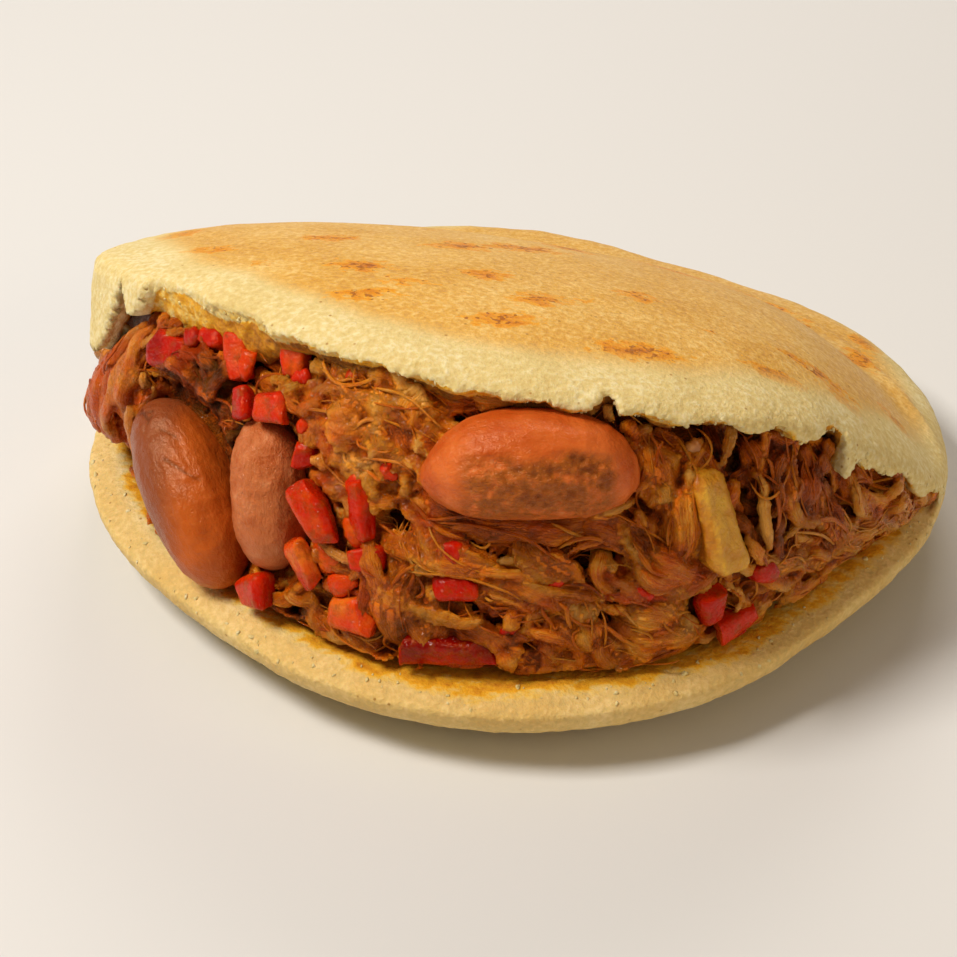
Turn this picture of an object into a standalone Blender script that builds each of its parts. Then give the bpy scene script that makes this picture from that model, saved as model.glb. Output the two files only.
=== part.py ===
"""A filled arepa, opened like a shell: one griddled corn bread that is split from the front and still joined
at its back and right, heaped with shredded beef, three chunks of sausage, diced sweet pepper and a wedge of
potato. Metres, +Z up. The mouth faces -Y, and the origin is on the underside at the middle of the plan."""

import math
import random

import bmesh
import bpy
from mathutils import Matrix, Vector, noise

MM = 0.001

# Plan of the bread, seen from above. It is patted out by hand, so three stretches of its rim are a little
# flat: each row is a direction and a half width in degrees, and the share of the radius that is missing.
HALF_WIDTH = 65.0 * MM
HALF_DEPTH = 66.5 * MM
FLAT_STRETCHES = ((224, 24, 0.055), (318, 20, 0.05), (59, 32, 0.13))
CENTRING = (0.0 * MM, 1.2 * MM)

# Section of the bread while it is shut: a rounded disc, split level with the top of its lower half.
LOWER_HALF = 10.8 * MM
UPPER_HALF = 6.8 * MM
UNDERSIDE_SAG = 0.4 * MM
LOWER_ROUNDNESS = 2.9
UPPER_ROUNDNESS = 2.2

# The upper half is thinner towards the back right, where the halves stay joined.
THIN_DIRECTION = 59
THIN_HALF_WIDTH = 55
THINNER_BY = 3.4 * MM

# The upper half bends up from two hinge lines, one along the back and one along the right side.
BACK_DIRECTION = math.radians(70)
BACK_HINGE = 52.0 * MM
BACK_SLOPE = 0.42
SIDE_DIRECTION = math.radians(27)
SIDE_HINGE = 56.0 * MM
SIDE_SLOPE = 0.76
FOLD_RADIUS = 3.0 * MM
HINGE_RADIUS = 1.5 * MM
SLOPE_STEP = 0.5 * MM
SET_BACK = 0.34
DROOP_X = 4.7 * MM
DROOP_Y = 7.8 * MM

# The pocket between the halves. Its lower face is dished and rolls over at the lip, and its upper face is
# hollowed. Places along a radius are shares of that radius.
HINGE_LEAST = 3.0 * MM
HINGE_SEARCH = 0.01
PAST_RIM = 0.2
POCKET_ROWS = (0, 0.3, 0.5, 0.64, 0.73, 0.78, 0.82, 0.86, 0.91, 1)
FLOOR_DROP = 0.5 * MM
DISH_RIM = 2.0 * MM
LIP_DROP = 3.5 * MM
LIP_FROM = 0.92
LIP_TO = 1.06
CRUMB_HOLLOW = 1.2 * MM
HOLLOW_FROM = 0.75
HOLLOW_TO = 0.95
CRUMB_GRAIN = 5.0 * MM
ROOF_RELIEF = 1.3 * MM
FLOOR_RELIEF = 0.3 * MM
ROOF_NOISE_HEIGHT = 40 * MM

# Tears in the upper lip: direction and half width in degrees, and how far the lip is bitten up, or hangs
# down where that is negative. They fade out towards the middle.
LIP_TEARS = (
    (207, 8, 2.6 * MM),
    (187, 9, -6.5 * MM),
    (228, 9, -1.2 * MM),
    (251, 5, 1.2 * MM),
    (277, 4, 1.2 * MM),
    (285, 4, -1.2 * MM),
    (311, 4, 1.4 * MM),
    (319, 4, -1.2 * MM),
    (326, 4, 2.2 * MM),
    (334, 4, -1.4 * MM),
)
TEARS_FROM = 0.72

BODY_SEGMENTS = 76
BODY_ROWS = 18

# The heap of filling and its face in the mouth, whose foot stands just inside the lower lip.
HEAP_GAP = 0.4 * MM
HINGE_GAP = 1.5 * MM
FACE_FOOT = 0.89
FACE_LEAN = 0.04
FACE_BELLY = 0.05
BULGE_DIRECTION = 190
BULGE_HALF_WIDTH = 20
BULGE = 0.06
ANGLE_STEP = 0.03
HEIGHT_STEP = 0.05

# The packed core behind the face: each row of its mesh is a share of its reach and a height share.
CORE_SEGMENTS = 32
CORE_GAP = 1.7 * MM
CORE_ROWS = (
    (0, 0), (0.6, 0), (0.96, 0), (1, 0.12), (1, 0.4), (1, 0.7), (1, 0.92), (0.94, 1), (0.5, 1), (0, 1),
)
CORE_INSET = 1.3 * MM
HEAP_BACK = 8.0 * MM

# Sausage chunks: centre, heading and climb of the long axis in degrees, length and width in mm, and how
# blunt the first and the last end are.
SAUSAGES = {
    "sausage_left": ((-45.6, -32.4, 23.0), 119, 36, 29.0, 14.0, 2.6, 2.2),
    "sausage_middle": ((-33.8, -41.2, 28.6), 97, 70, 22.0, 10.8, 2.8, 2.6),
    "sausage_right": ((1.0, -54.5, 42.0), 3, 0, 30.0, 15.0, 2.0, 2.8),
}
SAUSAGE_SEGMENTS = 18
SAUSAGE_ROWS = 12
SAUSAGE_BEND = 0.06

# Pieces on the heap's face, one row each: direction in degrees, height share, how deep it sits, turn in
# degrees from the rim's own direction, then length, width and thickness. Lengths in mm.
PEPPERS = (
    (212, 0.77, 0.0, 15, 7.0, 4.2, 3.2),
    (218, 0.87, 0.0, 19, 4.6, 3.0, 2.6),
    (224, 0.87, 0.0, -50, 7.4, 3.6, 2.6),
    (228, 0.77, -1.6, -70, 4.0, 2.8, 2.4),
    (233, 0.80, -2.4, 10, 6.0, 3.8, 2.6),
    (234, 0.92, 0.0, -81, 4.4, 3.4, 2.8),
    (243, 0.91, 0.2, 8, 3.8, 2.6, 2.4),
    (239, 0.66, -0.8, 20, 3.8, 3.0, 2.8),
    (243, 0.46, -2.0, -59, 9.6, 3.6, 2.6),
    (248, 0.53, -0.8, -87, 7.6, 3.2, 2.8),
    (250, 0.37, -0.8, 14, 5.4, 4.2, 3.2),
    (231, 0.09, -3.0, 19, 6.0, 4.0, 3.0),
    (241, 0.29, -2.0, -56, 6.8, 3.2, 2.4),
    (247, 0.16, -1.2, 9, 8.2, 4.6, 3.2),
    (259, 0.46, 0.0, 6, 4.0, 3.0, 2.6),
    (261, 0.35, -0.4, 8, 5.4, 3.4, 3.0),
    (262, 0.10, -1.0, 3, 14.0, 3.8, 2.8),
    (294, 0.23, -1.0, -82, 5.4, 3.6, 3.0),
    (301, 0.37, -0.8, -8, 4.6, 3.4, 3.0),
    (300, 0.10, -1.4, 4, 8.6, 3.0, 2.6),
)
POTATO = (293, 0.64, -0.6, -81, 14.5, 6.2, 6.4)
POTATO_SEED = 60
CHUNK_SKEW = 0.08
CHUNK_EDGE = 0.2
CHUNK_TILT = 0.3

# Shreds of beef on the same face: direction, height share, depth, turn, length, width and curl in degrees.
SHREDS = (
    (192, 0.58, -0.4, -126, 20, 5.0, 20),
    (197, 0.52, 0.0, -120, 21, 5.0, -15),
    (202, 0.60, 0.3, -116, 16, 4.4, 10),
    (217, 0.69, 0.2, 13, 14.6, 4.6, 30),
    (219, 0.58, 0.2, 3, 12, 4.0, -20),
    (223, 0.50, 0.4, -6, 9, 4.0, 20),
    (247, 0.88, -0.2, -9, 18, 5.0, 40),
    (247, 0.76, -0.6, -12, 15.6, 5.4, -30),
    (251, 0.84, -0.2, -4, 15, 4.6, 20),
    (247, 0.66, 0.0, -16, 11, 4.2, 30),
    (265, 0.40, -0.6, -9, 34, 4.4, -14),
    (266, 0.58, -0.4, -4, 26, 4.8, 12),
    (260, 0.42, 0.0, -32, 20, 4.0, 20),
    (268, 0.31, 0.0, -18, 18, 3.8, -20),
    (254, 0.24, -0.8, -88, 18, 4.8, 14),
    (258, 0.19, -0.2, -78, 15, 4.4, -16),
    (277, 0.20, -0.6, -60, 12, 4.2, 34),
    (288, 0.10, -0.8, -10, 16, 4.4, 40),
    (303, 0.08, -0.4, 20, 12, 4.0, 20),
    (287, 0.22, -0.2, -28, 12, 4.0, -30),
    (303, 0.74, -0.4, -72, 13, 5.0, 12),
    (307, 0.72, 0.0, -108, 9, 4.2, -14),
    (299, 0.80, 0.4, -66, 8.6, 3.4, 16),
    (322, 0.42, -0.6, -10, 30, 4.2, 10),
    (318, 0.26, -0.2, -10, 26, 4.0, -14),
    (331, 0.50, 0.2, -2, 24, 3.4, 8),
    (228, 0.06, -0.2, 3, 14, 3.4, 10),
    (246, 0.05, -0.4, -2, 18, 3.6, -12),
    (277, 0.04, -0.4, -6, 24, 3.6, 12),
    (251, 0.14, 0.0, -9, 10.6, 3.6, 14),
    (284, 0.05, -0.2, -28, 13, 3.4, 20),
    (288, 0.62, -0.4, -90, 13, 5.0, 10),
    (284, 0.80, 0.0, -76, 9, 4.4, -18),
    (258, 0.95, 0.4, -1, 11, 3.8, 10),
    (271, 0.44, -0.2, -41, 12, 4.0, 30),
    (279, 0.58, -0.2, 0, 13, 4.6, -24),
    (286, 0.44, -0.6, -30, 13.6, 4.6, 24),
    (306, 0.34, -0.4, -16, 14.6, 4.0, -18),
    (238, 0.56, 0.2, 7, 7, 3.6, 10),
    (227, 0.32, 0.2, -80, 12, 4.0, 10),
    (210, 0.30, 0.4, -70, 12, 4.4, 10),
    (275, 0.18, -0.2, -38, 9, 3.6, 14),
    (265, 0.17, -0.6, -21, 11, 4.0, -20),
    (312, 0.60, 0.4, -60, 9, 4.0, 16),
    (184, 0.22, -0.8, 10, 14, 4.2, 12),
    (182, 0.60, 0.6, -100, 14, 4.4, 20),
    (175, 0.35, 0.0, 20, 16, 4.4, -16),
    (171, 0.72, 0.2, -150, 12, 4.2, 20),
    (163, 0.45, 0.0, 8, 16, 4.2, 14),
    (155, 0.50, 0.0, -12, 14, 4.0, -20),
    (147, 0.50, 0.2, 4, 10, 3.6, 10),
)
SHRED_SIDES = 5
SHRED_ROWS = 6
SHRED_FLATNESS = 0.75
SHRED_DIVE = 2.0 * MM
SHRED_STEP = 0.1
TOPPING_GAP = 0.3 * MM

# Looks of each kind of piece: colour as written in sRGB, roughness.
LOOKS = {
    "bread": ("corn bread", "EAD79A", 0.75),
    "shredded": ("shredded beef", "8A4A24", 0.45),
    "sausage": ("sausage", "C07048", 0.4),
    "pepper": ("sweet red pepper", "C8240F", 0.3),
    "potato": ("potato", "D6A43C", 0.5),
}
SHARP_ANGLE = math.radians(40)


def clear_scene():
    for old in list(bpy.data.objects):
        bpy.data.objects.remove(old, do_unlink=True)


def near(angle, direction, half_width):
    """1 in this direction, falling away smoothly on both sides of it."""
    off = (math.degrees(angle) - direction + 180) % 360 - 180
    return math.exp(-((off / half_width) ** 2))


def smooth_step(low, high, value):
    share = min(1.0, max(0.0, (value - low) / (high - low)))
    return share * share * (3 - 2 * share)


def plan_reach(angle):
    """Share of the full radius that the rim reaches in this direction."""
    reach = 1.0
    for direction, half_width, missing in FLAT_STRETCHES:
        reach -= missing * near(angle, direction, half_width)
    return reach


def plan_point(angle, share):
    """The point of the plan that lies this share of the way from the middle to the rim."""
    reach = plan_reach(angle) * share
    return HALF_WIDTH * reach * math.cos(angle), HALF_DEPTH * reach * math.sin(angle)


def lift(x, y):
    """How far the upper half has risen over this point of the plan."""
    to_back = BACK_HINGE - x * math.cos(BACK_DIRECTION) - y * math.sin(BACK_DIRECTION)
    to_side = SIDE_HINGE - x * math.cos(SIDE_DIRECTION) - y * math.sin(SIDE_DIRECTION)
    back, side = BACK_SLOPE * to_back / FOLD_RADIUS, SIDE_SLOPE * to_side / FOLD_RADIUS
    folded = -FOLD_RADIUS * math.log(math.exp(-back) + math.exp(-side))
    folded -= DROOP_X * (x / HALF_WIDTH) ** 2 + DROOP_Y * (y / HALF_WIDTH) ** 2
    return HINGE_RADIUS * math.log1p(math.exp(folded / HINGE_RADIUS))


def opened(x, y, above):
    """Where a point of the upper half is once the mouth is open: above is its height over the split."""
    rise = lift(x, y)
    slope_x = (lift(x + SLOPE_STEP, y) - lift(x - SLOPE_STEP, y)) / (2 * SLOPE_STEP)
    slope_y = (lift(x, y + SLOPE_STEP) - lift(x, y - SLOPE_STEP)) / (2 * SLOPE_STEP)
    normal = Vector((-slope_x, -slope_y, 1)).normalized()
    back = SET_BACK * rise
    shift = Vector((back * math.cos(BACK_DIRECTION), back * math.sin(BACK_DIRECTION), LOWER_HALF + rise))
    return Vector((x, y, 0)) + shift + normal * above


def rounded(elevation, roundness):
    """Share of the radius and share of the height of the rounded disc at this elevation."""
    power = 2 / roundness
    return abs(math.cos(elevation)) ** power, abs(math.sin(elevation)) ** power


def upper_thickness(angle, share):
    return UPPER_HALF - THINNER_BY * near(angle, THIN_DIRECTION, THIN_HALF_WIDTH) * share**2


def mesh_object(name, bm, collection, place=Matrix()):
    """An object of this shape, its faces pointing out. Its place is measured from the middle of the plan."""
    mesh = bpy.data.meshes.new(name)
    if bm.calc_volume(signed=True) < 0:
        bmesh.ops.reverse_faces(bm, faces=bm.faces)
    bm.to_mesh(mesh)
    bm.free()
    made = bpy.data.objects.new(name, mesh)
    made.matrix_world = Matrix.Translation((*CENTRING, 0)) @ place
    collection.objects.link(made)
    return made


def bread_body(collection):
    """The bread before its pocket is cut: a sphere shaped into the disc, its upper half already bent up."""
    bm = bmesh.new()
    bmesh.ops.create_uvsphere(bm, u_segments=BODY_SEGMENTS, v_segments=BODY_ROWS, radius=1)
    row_step = math.pi / BODY_ROWS
    for vert in bm.verts:
        angle = math.atan2(vert.co.y, vert.co.x)
        elevation = math.asin(max(-1.0, min(1.0, vert.co.z)))
        upper = elevation > row_step / 2
        if upper:
            elevation = (elevation - row_step) * (math.pi / 2) / (math.pi / 2 - row_step)
        share, height = rounded(elevation, UPPER_ROUNDNESS if upper else LOWER_ROUNDNESS)
        x, y = plan_point(angle, share)
        if upper:
            vert.co = opened(x, y, upper_thickness(angle, share) * height)
        else:
            drop = (LOWER_HALF + UNDERSIDE_SAG) * height
            vert.co = (x, y, max(0.0, LOWER_HALF - drop))
    return mesh_object("bread", bm, collection)


def pocket_floor(angle, share, clear=0.0):
    """A point of the pocket's lower face: dished, and rounded over where it leaves the bread at the lip."""
    x, y = plan_point(angle, share)
    dish = DISH_RIM * share**4 - LIP_DROP * smooth_step(LIP_FROM, LIP_TO, share)
    grain = FLOOR_RELIEF * noise.noise(Vector((x, y, 0)) / CRUMB_GRAIN)
    return Vector((x, y, LOWER_HALF - FLOOR_DROP + dish + grain + clear))


def pocket_roof(angle, share, clear=0.0):
    """A point of the pocket's upper face, in torn crumb."""
    x, y = plan_point(angle, share)
    hollow = CRUMB_HOLLOW * (1 - smooth_step(HOLLOW_FROM, HOLLOW_TO, share))
    grain = ROOF_RELIEF * noise.noise(Vector((x, y, ROOF_NOISE_HEIGHT)) / CRUMB_GRAIN)
    tears = 0.0
    for direction, half_width, height in LIP_TEARS:
        tears += height * near(angle, direction, half_width)
    return opened(x, y, hollow + grain + tears * smooth_step(TEARS_FROM, HOLLOW_TO, share) - clear)


def pocket_reach(angle):
    """Share of the radius that the pocket reaches: to the hinge, or past the rim where the halves part."""
    rim_lift = lift(*plan_point(angle, 1))
    if rim_lift > HINGE_LEAST:
        return 1 + PAST_RIM * smooth_step(HINGE_LEAST, 3 * HINGE_LEAST, rim_lift)
    share = 1.0
    while lift(*plan_point(angle, share)) < HINGE_LEAST:
        share -= HINGE_SEARCH
    return share


def face_share(angle, height):
    """Share of the radius at which the heap's face stands: it bulges, most at the mouth's left end."""
    belly = FACE_BELLY + BULGE * near(angle, BULGE_DIRECTION, BULGE_HALF_WIDTH)
    return FACE_FOOT + FACE_LEAN * height + belly * math.sin(math.pi * height)


def heap_point(angle, share, height, gap):
    """A point between the pocket's lower and upper faces: height runs from 0 to 1."""
    return pocket_floor(angle, share, gap).lerp(pocket_roof(angle, share, gap), height)


def face_point(angle, height, inset=0.0):
    share = min(face_share(angle, height), pocket_reach(angle) - HINGE_GAP / HALF_WIDTH) - inset / HALF_WIDTH
    return heap_point(angle, share, height, HEAP_GAP)


def face_frame(angle, height):
    """Directions on the heap's face: along the rim, up the face, and out of the mouth."""
    along = (face_point(angle + ANGLE_STEP, height) - face_point(angle - ANGLE_STEP, height)).normalized()
    rise = face_point(angle, height + HEIGHT_STEP) - face_point(angle, height - HEIGHT_STEP)
    out = along.cross(rise).normalized()
    return along, out.cross(along), out


def pocket(name, segments, clear, collection):
    """The space between the halves, drawn in on all its faces by the clearance."""
    rows = len(POCKET_ROWS) - 1
    bm = bmesh.new()
    bmesh.ops.create_uvsphere(bm, u_segments=segments, v_segments=2 * rows, radius=1)
    for vert in bm.verts:
        angle = math.atan2(vert.co.y, vert.co.x)
        elevation = math.degrees(math.asin(max(-1.0, min(1.0, vert.co.z))))
        row = rows - round(abs(elevation) * rows / 90)
        reach = pocket_reach(angle) - clear / HALF_DEPTH
        share = POCKET_ROWS[row] * reach
        floor, roof = pocket_floor(angle, share, clear), pocket_roof(angle, share, clear)
        if row == rows:
            vert.co = (floor + roof) / 2
        else:
            vert.co = roof if elevation > 0 else floor
    return mesh_object(name, bm, collection)


def heap_core(collection):
    """The packed inside of the heap: it fills the pocket up to just behind the face."""
    rows = len(CORE_ROWS) - 1
    bm = bmesh.new()
    bmesh.ops.create_uvsphere(bm, u_segments=CORE_SEGMENTS, v_segments=rows, radius=1)
    for vert in bm.verts:
        angle = math.atan2(vert.co.y, vert.co.x)
        elevation = math.degrees(math.asin(max(-1.0, min(1.0, vert.co.z))))
        part_way, height = CORE_ROWS[round((elevation + 90) * rows / 180)]
        front = face_share(angle, height) - CORE_INSET / HALF_WIDTH
        back = pocket_reach(angle) - HEAP_BACK / HALF_WIDTH
        vert.co = heap_point(angle, min(front, back) * part_way, height, CORE_GAP)
    return mesh_object("shredded_beef", bm, collection)


def face_walk(angle, height, along, rise, inset):
    """The point of the heap's face reached from this place by walking along the rim and up the face."""
    step = face_point(angle + ANGLE_STEP, height) - face_point(angle - ANGLE_STEP, height)
    rim = step.length / (2 * ANGLE_STEP)
    tall = (face_point(angle, 1) - face_point(angle, 0)).length
    return face_point(angle + along / rim, height + rise / tall, inset)


def shred(name, row, collection):
    """One flattened strand of meat that follows the face and dives into the heap at both ends."""
    direction, height, inset, turn, length, width, curl = row
    angle = math.radians(direction)
    out = face_frame(angle, height)[2]
    bm = bmesh.new()
    bmesh.ops.create_uvsphere(bm, u_segments=SHRED_SIDES, v_segments=SHRED_ROWS, radius=1)

    def middle(way):
        heading = math.radians(turn + 0.5 * curl * way)
        gone = 0.5 * length * MM * way
        deep = inset * MM + SHRED_DIVE * way**4
        return face_walk(angle, height, gone * math.cos(heading), gone * math.sin(heading), deep)

    for vert in bm.verts:
        elevation = math.asin(max(-1.0, min(1.0, vert.co.z)))
        way = elevation / (math.pi / 2)
        around = math.atan2(vert.co.y, vert.co.x)
        tangent = (middle(way + SHRED_STEP) - middle(way - SHRED_STEP)).normalized()
        side = tangent.cross(out).normalized()
        thick = 0.5 * width * MM * math.sqrt(max(0.0, 1 - way**4))
        offset = side * (thick * math.cos(around)) + out * (SHRED_FLATNESS * thick * math.sin(around))
        vert.co = middle(way) + offset
    return mesh_object(name, bm, collection)


def sausage(name, row, grow, collection):
    """A chunk of sausage: rounded, a little bent, with one end blunter than the other."""
    centre, heading, climb, length, width, first, last = row
    bm = bmesh.new()
    bmesh.ops.create_uvsphere(bm, u_segments=SAUSAGE_SEGMENTS, v_segments=SAUSAGE_ROWS, radius=1)
    for vert in bm.verts:
        elevation = math.asin(max(-1.0, min(1.0, vert.co.z)))
        way = math.sin(elevation)
        around = math.atan2(vert.co.y, vert.co.x)
        blunt = last if way > 0 else first
        round_off = max(0.0, 1 - abs(way) ** blunt) ** 0.5
        radius = (0.5 * width * MM + grow) * round_off
        bend = SAUSAGE_BEND * length * MM * (1 / 3 - way * way)
        vert.co = (
            (0.5 * length * MM + grow) * way,
            radius * math.cos(around),
            radius * math.sin(around) + bend,
        )
    turned = Matrix.Rotation(math.radians(heading), 4, "Z") @ Matrix.Rotation(-math.radians(climb), 4, "Y")
    return mesh_object(name, bm, collection, Matrix.Translation(Vector(centre) * MM) @ turned)


def chunk(name, row, grow, seed, collection):
    """A diced piece on the heap's face: a block with rounded edges, cut a little out of true."""
    direction, height, inset, turn, length, width, thick = row
    angle = math.radians(direction)
    along, rise, out = face_frame(angle, height)
    rng = random.Random(seed)
    bm = bmesh.new()
    bmesh.ops.create_cube(bm, size=1)
    for vert in bm.verts:
        vert.co += Vector(rng.uniform(-CHUNK_SKEW, CHUNK_SKEW) for axis in range(3))
    size = Vector((length, width, thick)) * MM
    for vert in bm.verts:
        vert.co = Vector((vert.co.x * size.x, vert.co.y * size.y, vert.co.z * size.z))
    edge = CHUNK_EDGE * min(width, thick) * MM
    bmesh.ops.bevel(bm, geom=bm.edges[:], offset=edge, segments=1, affect="EDGES", profile=0.5)
    if grow:
        for vert in bm.verts:
            vert.co += Vector(math.copysign(grow, value) for value in vert.co)
    frame = Matrix((along, rise, out)).transposed().to_4x4()
    tilt = rng.uniform(-CHUNK_TILT, CHUNK_TILT)
    spin = Matrix.Rotation(math.radians(turn), 4, "Z") @ Matrix.Rotation(tilt, 4, "X")
    place = Matrix.Translation(face_point(angle, height, inset * MM)) @ frame @ spin
    return mesh_object(name, bm, collection, place)


def toppings(grow, suffix, collection):
    """Everything that is not beef, grown by this much: by the gap, where it is the room round a piece."""
    for name, row in SAUSAGES.items():
        sausage(name + suffix, row, grow, collection)
    for number, row in enumerate(PEPPERS, start=1):
        chunk(f"pepper_{number:02d}{suffix}", row, grow, number, collection)
    chunk("potato_wedge" + suffix, POTATO, grow, POTATO_SEED, collection)


def cut(target, cutter, operation="DIFFERENCE", solver="EXACT"):
    change = target.modifiers.new(operation.lower(), "BOOLEAN")
    change.operation = operation
    change.solver = solver
    change.object = cutter


def as_cutter(made):
    made.hide_render = True
    made.display_type = "WIRE"
    return made


def collection_named(name):
    made = bpy.data.collections.new(name)
    bpy.context.scene.collection.children.link(made)
    return made


def fused(target, collection):
    """Joins a whole collection to the target with one Boolean, and clears the collection away."""
    join = target.modifiers.new("union", "BOOLEAN")
    join.operation = "UNION"
    join.solver = "EXACT"
    join.operand_type = "COLLECTION"
    join.collection = collection
    applied(target)
    clear_away(collection)


def carved(target, collection):
    """Cuts each object of the collection out of the target in turn, and clears the collection away."""
    for cutter in collection.objects:
        cut(target, cutter, solver="MANIFOLD")
        applied(target)
    clear_away(collection)


def clear_away(collection):
    for used in list(collection.objects):
        bpy.data.objects.remove(used, do_unlink=True)
    bpy.data.collections.remove(collection)


def applied(target):
    bpy.context.view_layer.update()
    shaped = target.evaluated_get(bpy.context.evaluated_depsgraph_get())
    old = target.data
    target.data = bpy.data.meshes.new_from_object(shaped)
    target.modifiers.clear()
    bpy.data.meshes.remove(old)


def keep_one_body(target):
    """Drops the scraps that a cut left loose and fills the hollows that it sealed."""
    bm = bmesh.new()
    bm.from_mesh(target.data)
    unseen = set(bm.verts)
    bodies = []
    while unseen:
        front = [unseen.pop()]
        body = set(front)
        while front:
            for edge in front.pop().link_edges:
                for vert in edge.verts:
                    if vert in unseen:
                        unseen.discard(vert)
                        body.add(vert)
                        front.append(vert)
        bodies.append(body)
    largest = max(bodies, key=len)
    loose = [vert for vert in bm.verts if vert not in largest]
    bmesh.ops.delete(bm, geom=loose, context="VERTS")
    bm.to_mesh(target.data)
    bm.free()


def linear(code):
    """A colour written in sRGB as the linear values a shader takes."""
    parts = [int(code[at : at + 2], 16) / 255 for at in (0, 2, 4)]
    return [part / 12.92 if part <= 0.04045 else ((part + 0.055) / 1.055) ** 2.4 for part in parts]


def give_looks(collection):
    for key, (name, colour, roughness) in LOOKS.items():
        material = bpy.data.materials.new(name)
        material.use_nodes = True
        shader = material.node_tree.nodes["Principled BSDF"]
        shader.inputs["Base Color"].default_value = (*linear(colour), 1)
        shader.inputs["Roughness"].default_value = roughness
        shader.inputs["Metallic"].default_value = 0
        for piece in collection.objects:
            if piece.name.startswith(key):
                piece.data.materials.clear()
                piece.data.materials.append(material)
                piece.data.shade_smooth()
                piece.data.set_sharp_from_angle(angle=SHARP_ANGLE)


def main():
    clear_scene()
    parts = collection_named("arepa")
    cutters = collection_named("cutters")
    bread = bread_body(parts)
    cut(bread, as_cutter(pocket("mouth_cutter", BODY_SEGMENTS, 0.0, cutters)))

    beef = heap_core(parts)
    strands = collection_named("strands")
    for number, row in enumerate(SHREDS, start=1):
        shred(f"strand_{number:02d}", row, strands)
    fused(beef, strands)
    room = as_cutter(pocket("room_cutter", BODY_SEGMENTS, HEAP_GAP, cutters))
    cut(beef, room, "INTERSECT", "MANIFOLD")
    applied(beef)
    keep_one_body(beef)
    round_toppings = collection_named("round_toppings")
    toppings(TOPPING_GAP, "_room", round_toppings)
    carved(beef, round_toppings)
    keep_one_body(beef)

    toppings(0.0, "", parts)
    for name in SAUSAGES:
        cut(bpy.data.objects[name], room, "INTERSECT")
    give_looks(parts)


main()
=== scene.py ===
"""Looks of the filled arepa: griddled corn bread, braised beef in strands, sausage, sweet pepper and potato.
Metres, +Z up. The mouth faces -Y. Lengths are written in millimetres and turned to metres by MM."""

import math
import random
from types import SimpleNamespace

import bmesh
import bpy
import numpy as np
from mathutils import Matrix, Vector, bvhtree, kdtree, noise


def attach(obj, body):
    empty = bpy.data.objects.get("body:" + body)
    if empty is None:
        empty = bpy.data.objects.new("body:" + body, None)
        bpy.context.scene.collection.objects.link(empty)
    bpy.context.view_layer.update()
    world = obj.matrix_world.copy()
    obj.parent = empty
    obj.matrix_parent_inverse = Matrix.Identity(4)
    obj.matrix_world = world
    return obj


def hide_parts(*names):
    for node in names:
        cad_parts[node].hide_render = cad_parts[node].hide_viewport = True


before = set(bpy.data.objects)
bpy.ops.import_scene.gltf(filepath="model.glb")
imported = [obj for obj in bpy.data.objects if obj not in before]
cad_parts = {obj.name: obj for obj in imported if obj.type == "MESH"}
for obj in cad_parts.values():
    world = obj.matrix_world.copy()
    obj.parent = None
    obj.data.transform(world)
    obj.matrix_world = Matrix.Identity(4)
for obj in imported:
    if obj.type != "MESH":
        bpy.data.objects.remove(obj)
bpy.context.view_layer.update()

MM = 0.001

# Form of the bread, as the solids have it.
HALF_WIDTH = 65.0 * MM
HALF_DEPTH = 66.5 * MM
FLAT_STRETCHES = ((224, 24, 0.055), (318, 20, 0.05), (59, 32, 0.13))
CENTRING = np.array((0.0, 1.2, 0.0)) * MM
LOWER_HALF = 10.8 * MM
UPPER_HALF = 6.8 * MM
UNDERSIDE_SAG = 0.4 * MM
LOWER_ROUNDNESS = 2.9
UPPER_ROUNDNESS = 2.2
THIN_DIRECTION = 59
THIN_HALF_WIDTH = 55
THINNER_BY = 3.4 * MM
BACK_DIRECTION = math.radians(70)
BACK_HINGE = 52.0 * MM
BACK_SLOPE = 0.42
SIDE_DIRECTION = math.radians(27)
SIDE_HINGE = 56.0 * MM
SIDE_SLOPE = 0.76
FOLD_RADIUS = 3.0 * MM
HINGE_RADIUS = 1.5 * MM
SLOPE_STEP = 0.5 * MM
SET_BACK = 0.34
DROOP_X = 4.7 * MM
DROOP_Y = 7.8 * MM
HINGE_LEAST = 3.0 * MM
PAST_RIM = 0.2
FLOOR_DROP = 0.5 * MM
DISH_RIM = 2.0 * MM
LIP_DROP = 3.5 * MM
LIP_FROM = 0.92
LIP_TO = 1.06
CRUMB_HOLLOW = 1.2 * MM
HOLLOW_FROM = 0.75
HOLLOW_TO = 0.95
CRUMB_GRAIN = 5.0 * MM
ROOF_RELIEF = 1.3 * MM
FLOOR_RELIEF = 0.3 * MM
ROOF_NOISE_HEIGHT = 40 * MM
HEAP_GAP = 0.4 * MM
HINGE_GAP = 1.5 * MM
FACE_FOOT = 0.89
FACE_LEAN = 0.04
FACE_BELLY = 0.05
BULGE_DIRECTION = 190
BULGE_HALF_WIDTH = 20
BULGE = 0.06
TEARS_FROM = 0.72

# Tears in the upper lip: direction and half width in degrees, and how many mm it is bitten up.
LIP_TEARS = (
    (207, 8, 2.6), (187, 9, -6.5), (228, 9, -1.2), (251, 5, 1.2), (277, 4, 1.2), (285, 4, -1.2),
    (311, 4, 1.4), (319, 4, -1.2), (326, 4, 2.2), (334, 4, -1.4),
)
# Smaller ones that only the crumb has: folds, notches and hanging scraps.
LIP_BITES = (
    (192, 7, -6.6), (204, 2.6, -7.4), (200.4, 0.8, 1.8), (213, 9, 2.2), (227, 5, 3.0), (238, 3, 0.5),
    (251, 5, -0.8), (276.3, 0.5, 5.5), (278.0, 0.8, -2.2), (285, 4, 1.0), (298.5, 1.6, 1.0),
    (311, 0.8, 4.4), (314, 1.1, -5.0), (326, 4, -3.0),
)
BITES_FROM = 0.94
BITES_TO = 0.99
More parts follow.
